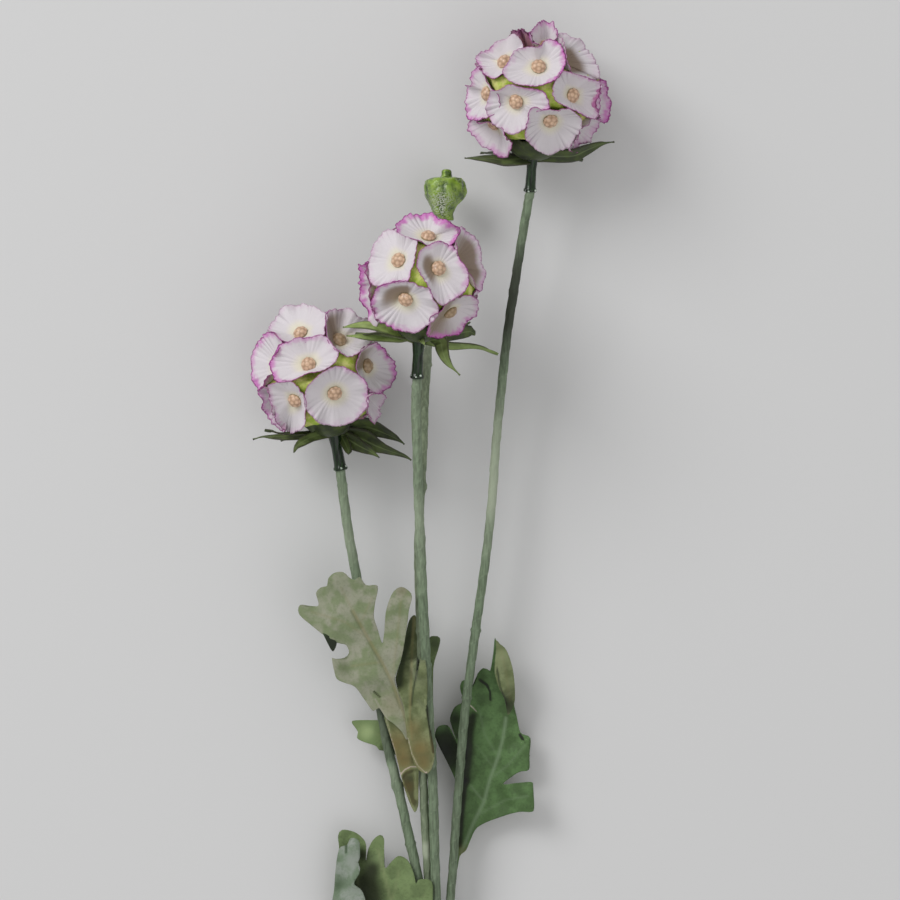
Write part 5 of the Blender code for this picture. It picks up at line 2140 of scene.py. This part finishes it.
FRONT_LEAF_SHEATH = Leaf(
    "front_leaf_sheath", Slot.PALE_LEAF, Side.SHADED, Side.GREEN,
    outline=(
        (384, 716), (390, 719), (399, 728), (407, 738), (413, 751), (418, 763), (419, 775), (418.5, 792),
        (418, 806), (415, 812.5), (411, 806), (406, 793), (401, 776), (395, 752), (389, 733),
    ),
    heights=(
        (-24, -102, 21.5), (-17, -109, 22.3), (-14, -115, 22.0), (-12.5, -120, 20.0), (-19, -120, 19.5),
        (-13.5, -137, 18.2), (-20, -112, 20.5), (-12.2, -128, 19.0),
    ),
    patches=(
        Patch(398, 745, 16, 0.1, 0.85), Patch(405, 762, 9, 0, 0.7), Patch(407, 786, 10, -1.9, 0.45),
        Patch(412, 802, 6, -1.2, 0.3),
    ),
    shades=(
        (((386, 718), (394, 748), (400, 773), (407, 793), (414, 811)), 1.0, 1.7),
        (((401, 774), (405, 769.5), (410, 767), (418, 767)), 0.9, 2.6), (((415, 773), (416, 798)), 1.6, 1.3),
        (((402, 779), (406, 773), (412, 771)), 1.4, -1.2),
    ),
    ruffle=0.2, grid=0.5,
)
INNER_LEAF = Leaf(
    "inner_leaf_cloth", Slot.PALE_LEAF, Side.SHADED, Side.GREEN,
    outline=(
        (426, 773.5), (431, 770), (434.5, 757), (433, 742), (429, 722), (427, 705), (427.5, 690), (427, 674),
        (425.5, 660), (423.5, 651), (422, 651), (420, 660), (417.5, 671), (416.5, 671), (418, 658),
        (419, 646), (417, 620), (414, 615), (409, 621), (405, 638), (402, 656), (398, 670), (396, 680),
        (399, 692), (404, 708), (406, 728), (410, 750), (417, 768),
    ),
    heights=(
        (-9, -122, 25.0), (-6.5, -112, 27.0), (-8.5, -95, 29.5), (-10.6, -84, 32), (-14, -63, 19),
        (-14, -76, 19), (-17, -86, 22), (-14, -98, 25.5), (-12, -112, 25.5),
    ),
    replaces=("inner_leaf",),
    ribs=(
        (((414, 618), (412, 650), (411, 680), (410, 710), (412, 740)), 1.4, 0.7),
        (((417, 672), (414, 700), (412, 720)), 1.1, -0.5),
    ),
    patches=(
        Patch(410, 640, 8, -0.4), Patch(420, 750, 12, -0.35, 0.9), Patch(413, 728, 9, -0.1, 0.6),
        Patch(424, 765, 8, -0.3, 0.6), Patch(424, 690, 10, -0.35), Patch(404, 700, 8, -0.3),
    ),
    shades=(
        (((412, 618), (407, 640), (402, 662), (399, 684)), 4.2, -1.0),
        (((417, 672), (413, 690), (411, 705)), 1.0, -0.9), (((413, 640), (412, 660), (409, 690)), 1.6, 0.6),
        (((419, 648), (417, 670)), 1.2, -1.6), (((426.5, 706), (429, 722), (433.5, 752)), 1.1, -2.2),
        (((425, 700), (426, 708)), 0.8, 1.4), (((408, 738), (412, 754), (418, 766), (426, 773)), 1.0, 2.0),
        (((426, 773), (432, 768), (434, 758)), 0.9, 1.6), (((398, 688), (404, 708), (408, 730)), 0.8, 1.0),
    ),
    ruffle=0.4, grid=0.5,
)
REAR_LEAF = Leaf(
    "rear_leaf_cloth", Slot.GREEN_LEAF, Side.OLIVE, Side.SAGE,
    outline=(
        (425, 774), (412, 764), (398, 756), (385, 751), (379, 750), (376, 746), (364, 742), (357, 738),
        (358, 732), (354, 726), (352, 721), (366, 720), (380, 720), (398, 718), (412, 695), (424, 664),
        (428, 640), (434, 636), (440, 638), (439, 647), (434, 664), (433, 680), (433, 705), (431, 745),
    ),
    heights=(
        (-9.5, -122, 14), (-36, -105, 9), (-25, -108, 11), (-14, -104, 13), (-6, -72, 18), (-9, -90, 16),
    ),
    replaces=("rear_leaf",),
    ribs=((((355, 724), (375, 733), (400, 745), (420, 768)), 1.3, 0.4),),
    patches=(
        Patch(366, 732, 16, 1.7), Patch(436, 645, 12, -0.6), Patch(380, 748, 8, -0.5),
        Patch(402, 745, 18, -0.6),
    ),
    ruffle=0.5,
)
RIGHT_LEAF = Leaf(
    "right_leaf_cloth", Slot.GREEN_LEAF, Side.GREEN, Side.SAGE,
    outline=(
        (457, 870), (460, 856), (466, 850), (470, 841), (475, 830), (483, 824), (500, 817), (519, 812),
        (531, 812), (534, 808), (533, 786), (531, 782), (516, 783), (503, 784), (514, 775), (521, 771.5),
        (529, 769.5), (529.5, 755), (530, 738), (522, 734), (519, 729), (516, 714), (514, 704), (514, 690),
        (512, 676), (509, 664), (503, 655), (498, 648), (495, 638), (493, 655), (490, 671), (487, 669),
        (483, 668), (478, 673), (475, 680), (469, 690), (464, 680), (460, 686), (462, 696), (463, 702),
        (455, 707), (450, 718), (452, 727), (456, 740), (450, 728), (445, 725), (438, 727), (435, 735),
        (439, 746), (447, 762), (455, 780), (457, 800), (458, 830), (456, 855),
    ),
    heights=(
        (4, -157, 9.5), (6, -148, 9), (14, -133, 8), (20, -112, 8), (17.5, -73, 13), (31, -132, 12),
        (29, -115, 10), (-4, -108, 9), (0, -98, 10), (3, -130, 9),
    ),
    replaces=("right_leaf",),
    ribs=(
        (((462, 852), (474, 822), (484, 802), (490, 779), (498, 757), (503, 738), (506, 718)), 1.6, 0.9),
        (((484, 802), (471, 786)), 1.2, 0.5), (((498, 757), (485, 735), (478, 705)), 1.2, 0.25),
        (((490, 779), (508, 765), (525, 745)), 1.2, 0.35), (((478, 815), (505, 800), (528, 796)), 1.2, 0.35),
        (((494, 768), (476, 745)), 1.1, 0.2),
    ),
    patches=(
        Patch(445, 750, 19, -1.7), Patch(455, 718, 8, -0.8), Patch(484, 676, 9, -0.3),
        Patch(484, 735, 12, 0.25), Patch(518, 796, 9, -0.25), Patch(500, 800, 10, 0.15),
        Patch(497, 690, 8, -0.15), Patch(463, 852, 6, 0.2, 0.5), Patch(523, 745, 9, -0.2),
    ),
    shades=(
        (((473, 716), (469, 745), (466, 780)), 4.6, -0.9), (((466, 780), (462, 812), (460, 846)), 2.8, -1.0),
        (((469, 718), (464, 775), (460, 830)), 1.8, -0.7), (((470, 705), (474, 708.5), (477, 712)), 0.8, 2.6),
        (((450, 727), (454, 735), (458, 743)), 0.8, 2.2), (((520, 735), (524, 741)), 1.2, -1.8),
        (((521, 743), (525, 740), (529, 737.5)), 0.8, 1.8), (((469, 690), (474, 683), (476, 676)), 1.0, -1.2),
        (((488, 690), (486, 720), (484, 750)), 3.0, 0.35),
        (((480, 680), (487, 685), (490, 692), (490.5, 700)), 1.1, -1.6),
        (((530, 737), (531, 752), (529, 768)), 2.0, -0.4), (((503, 784), (515, 776), (528, 770)), 1.6, 0.3),
    ),
    ruffle=1.2, rib_height=-0.3, grid=0.6,
)
RIGHT_LEAF_FOLD = Leaf(
    "right_leaf_fold", Slot.GREEN_LEAF, Side.SHADED, Side.GREEN,
    outline=(
        (496, 640), (500, 644), (505, 648), (509, 656), (512, 666), (514, 677), (515, 692), (514, 704),
        (508, 715), (505, 700), (499, 688), (495, 674), (495, 660), (496, 650),
    ),
    heights=(
        (24, -83, 16.5), (18, -74, 16.5), (23.5, -97, 12.5), (19.5, -90, 18), (18.5, -82, 18),
        (21.5, -99, 13),
    ),
    ribs=((((501, 650), (506, 672), (510, 700)), 1.6, 0.2),),
    patches=(Patch(507, 706, 8, -1.6), Patch(502, 658, 9, 1.2), Patch(510, 684, 8, 0.5)),
    shades=((((496, 662), (500, 686), (506, 704)), 1.2, -1.0),),
    ruffle=0.4, grid=0.5,
)
LOW_LEAF = Leaf(
    "low_leaf_cloth", Slot.GREEN_LEAF, Side.OLIVE, Side.SAGE,
    outline=(
        (332, 905), (334, 890), (336, 865), (339, 849), (338, 836), (342, 830), (354, 832), (363, 839),
        (366, 846), (366, 861), (368, 850), (373, 840), (380, 835), (384, 839), (384, 852), (385, 868),
        (391, 862), (398, 856), (405, 858), (410, 864), (414, 875), (416, 884), (418, 880), (424, 879),
        (430, 880), (433, 886), (433, 905), (438, 930), (444, 960), (446, 990), (440, 1012), (425, 1003),
        (400, 985), (370, 968), (345, 948), (334, 928),
    ),
    heights=(
        (-43, -150, 11), (-36, -172, 12), (-27, -150, 13.5), (-20, -158, 16.5), (-9.5, -165, 18.6),
        (-6, -178, 19), (-3, -194, 20), (-3.5, -212, 16.5), (-20, -190, 15.5), (-42, -185, 10),
    ),
    replaces=("low_leaf",),
    ribs=(
        (((436, 1000), (415, 955), (392, 905), (378, 850)), 1.6, 0.6), (((392, 905), (399, 870)), 1.2, 0.4),
        (((415, 955), (424, 895)), 1.2, 0.3), (((400, 925), (362, 900), (350, 850)), 1.3, 0.3),
    ),
    patches=(
        Patch(365, 885, 13, -1.2), Patch(362, 855, 7, -0.9), Patch(373, 868, 9, -0.8),
        Patch(368, 908, 15, -1.1), Patch(381, 840, 5, 0.6), Patch(386, 895, 14, -0.35),
        Patch(402, 880, 13, 0.5), Patch(424, 890, 9, 0.3), Patch(360, 950, 20, -0.4),
        Patch(438, 990, 14, 0, 0.6),
    ),
    ruffle=0.5,
)
LOW_LEAF_FOLD = Leaf(
    "low_leaf_fold", Slot.PALE_LEAF, Side.GREY, Side.OLIVE,
    outline=(
        (332, 905), (334, 890), (336, 865), (339, 849), (343, 846), (347, 845), (351, 838), (359, 841),
        (360, 857), (358, 862), (360, 868), (359, 874), (354, 884), (362, 891), (366, 905), (364, 925),
        (350, 935), (336, 922),
    ),
    heights=(
        (-43, -150, 12), (-43, -165, 12.5), (-36, -152, 17), (-36, -164, 17.5), (-34, -172, 17),
        (-44, -178, 11.5), (-37, -180, 14.5),
    ),
    ribs=((((338, 900), (345, 860), (354, 843)), 1.4, -0.3),),
    patches=(
        Patch(351, 860, 9, 0.8), Patch(338, 885, 8, -0.7), Patch(350, 900, 11, 0.4), Patch(338, 860, 6, -0.5),
    ),
    shades=(
        (((341, 838), (346, 845), (346, 853)), 1.3, -1.3), (((353, 868), (350, 878)), 2.0, 0.4),
        (((359, 843), (359, 857), (360, 870)), 0.8, 1.2),
    ),
    ruffle=0.5, lift=0.5,
)
LEAVES = (
    FRONT_LEAF, FRONT_LEAF_CURL, FRONT_LEAF_SHEATH, INNER_LEAF, REAR_LEAF, RIGHT_LEAF, RIGHT_LEAF_FOLD,
    LOW_LEAF, LOW_LEAF_FOLD,
)


def main() -> None:
    """Builds the spray and the studio round it."""
    logging.basicConfig(level=logging.INFO, format="%(name)s: %(message)s")
    finishes = Finishes()
    maker = Maker(finishes)
    for head in spray_heads(maker):
        head.build()
    for stem in spray_stems(finishes):
        stem.build(maker)
    Joint().build(maker)
    Bud().build(maker)
    for leaf in LEAVES:
        leaf.build(maker)
    Studio().build()
    log.info("%d pieces, about %d triangles", maker.count, maker.triangles)


if __name__ == "__main__":
    main()
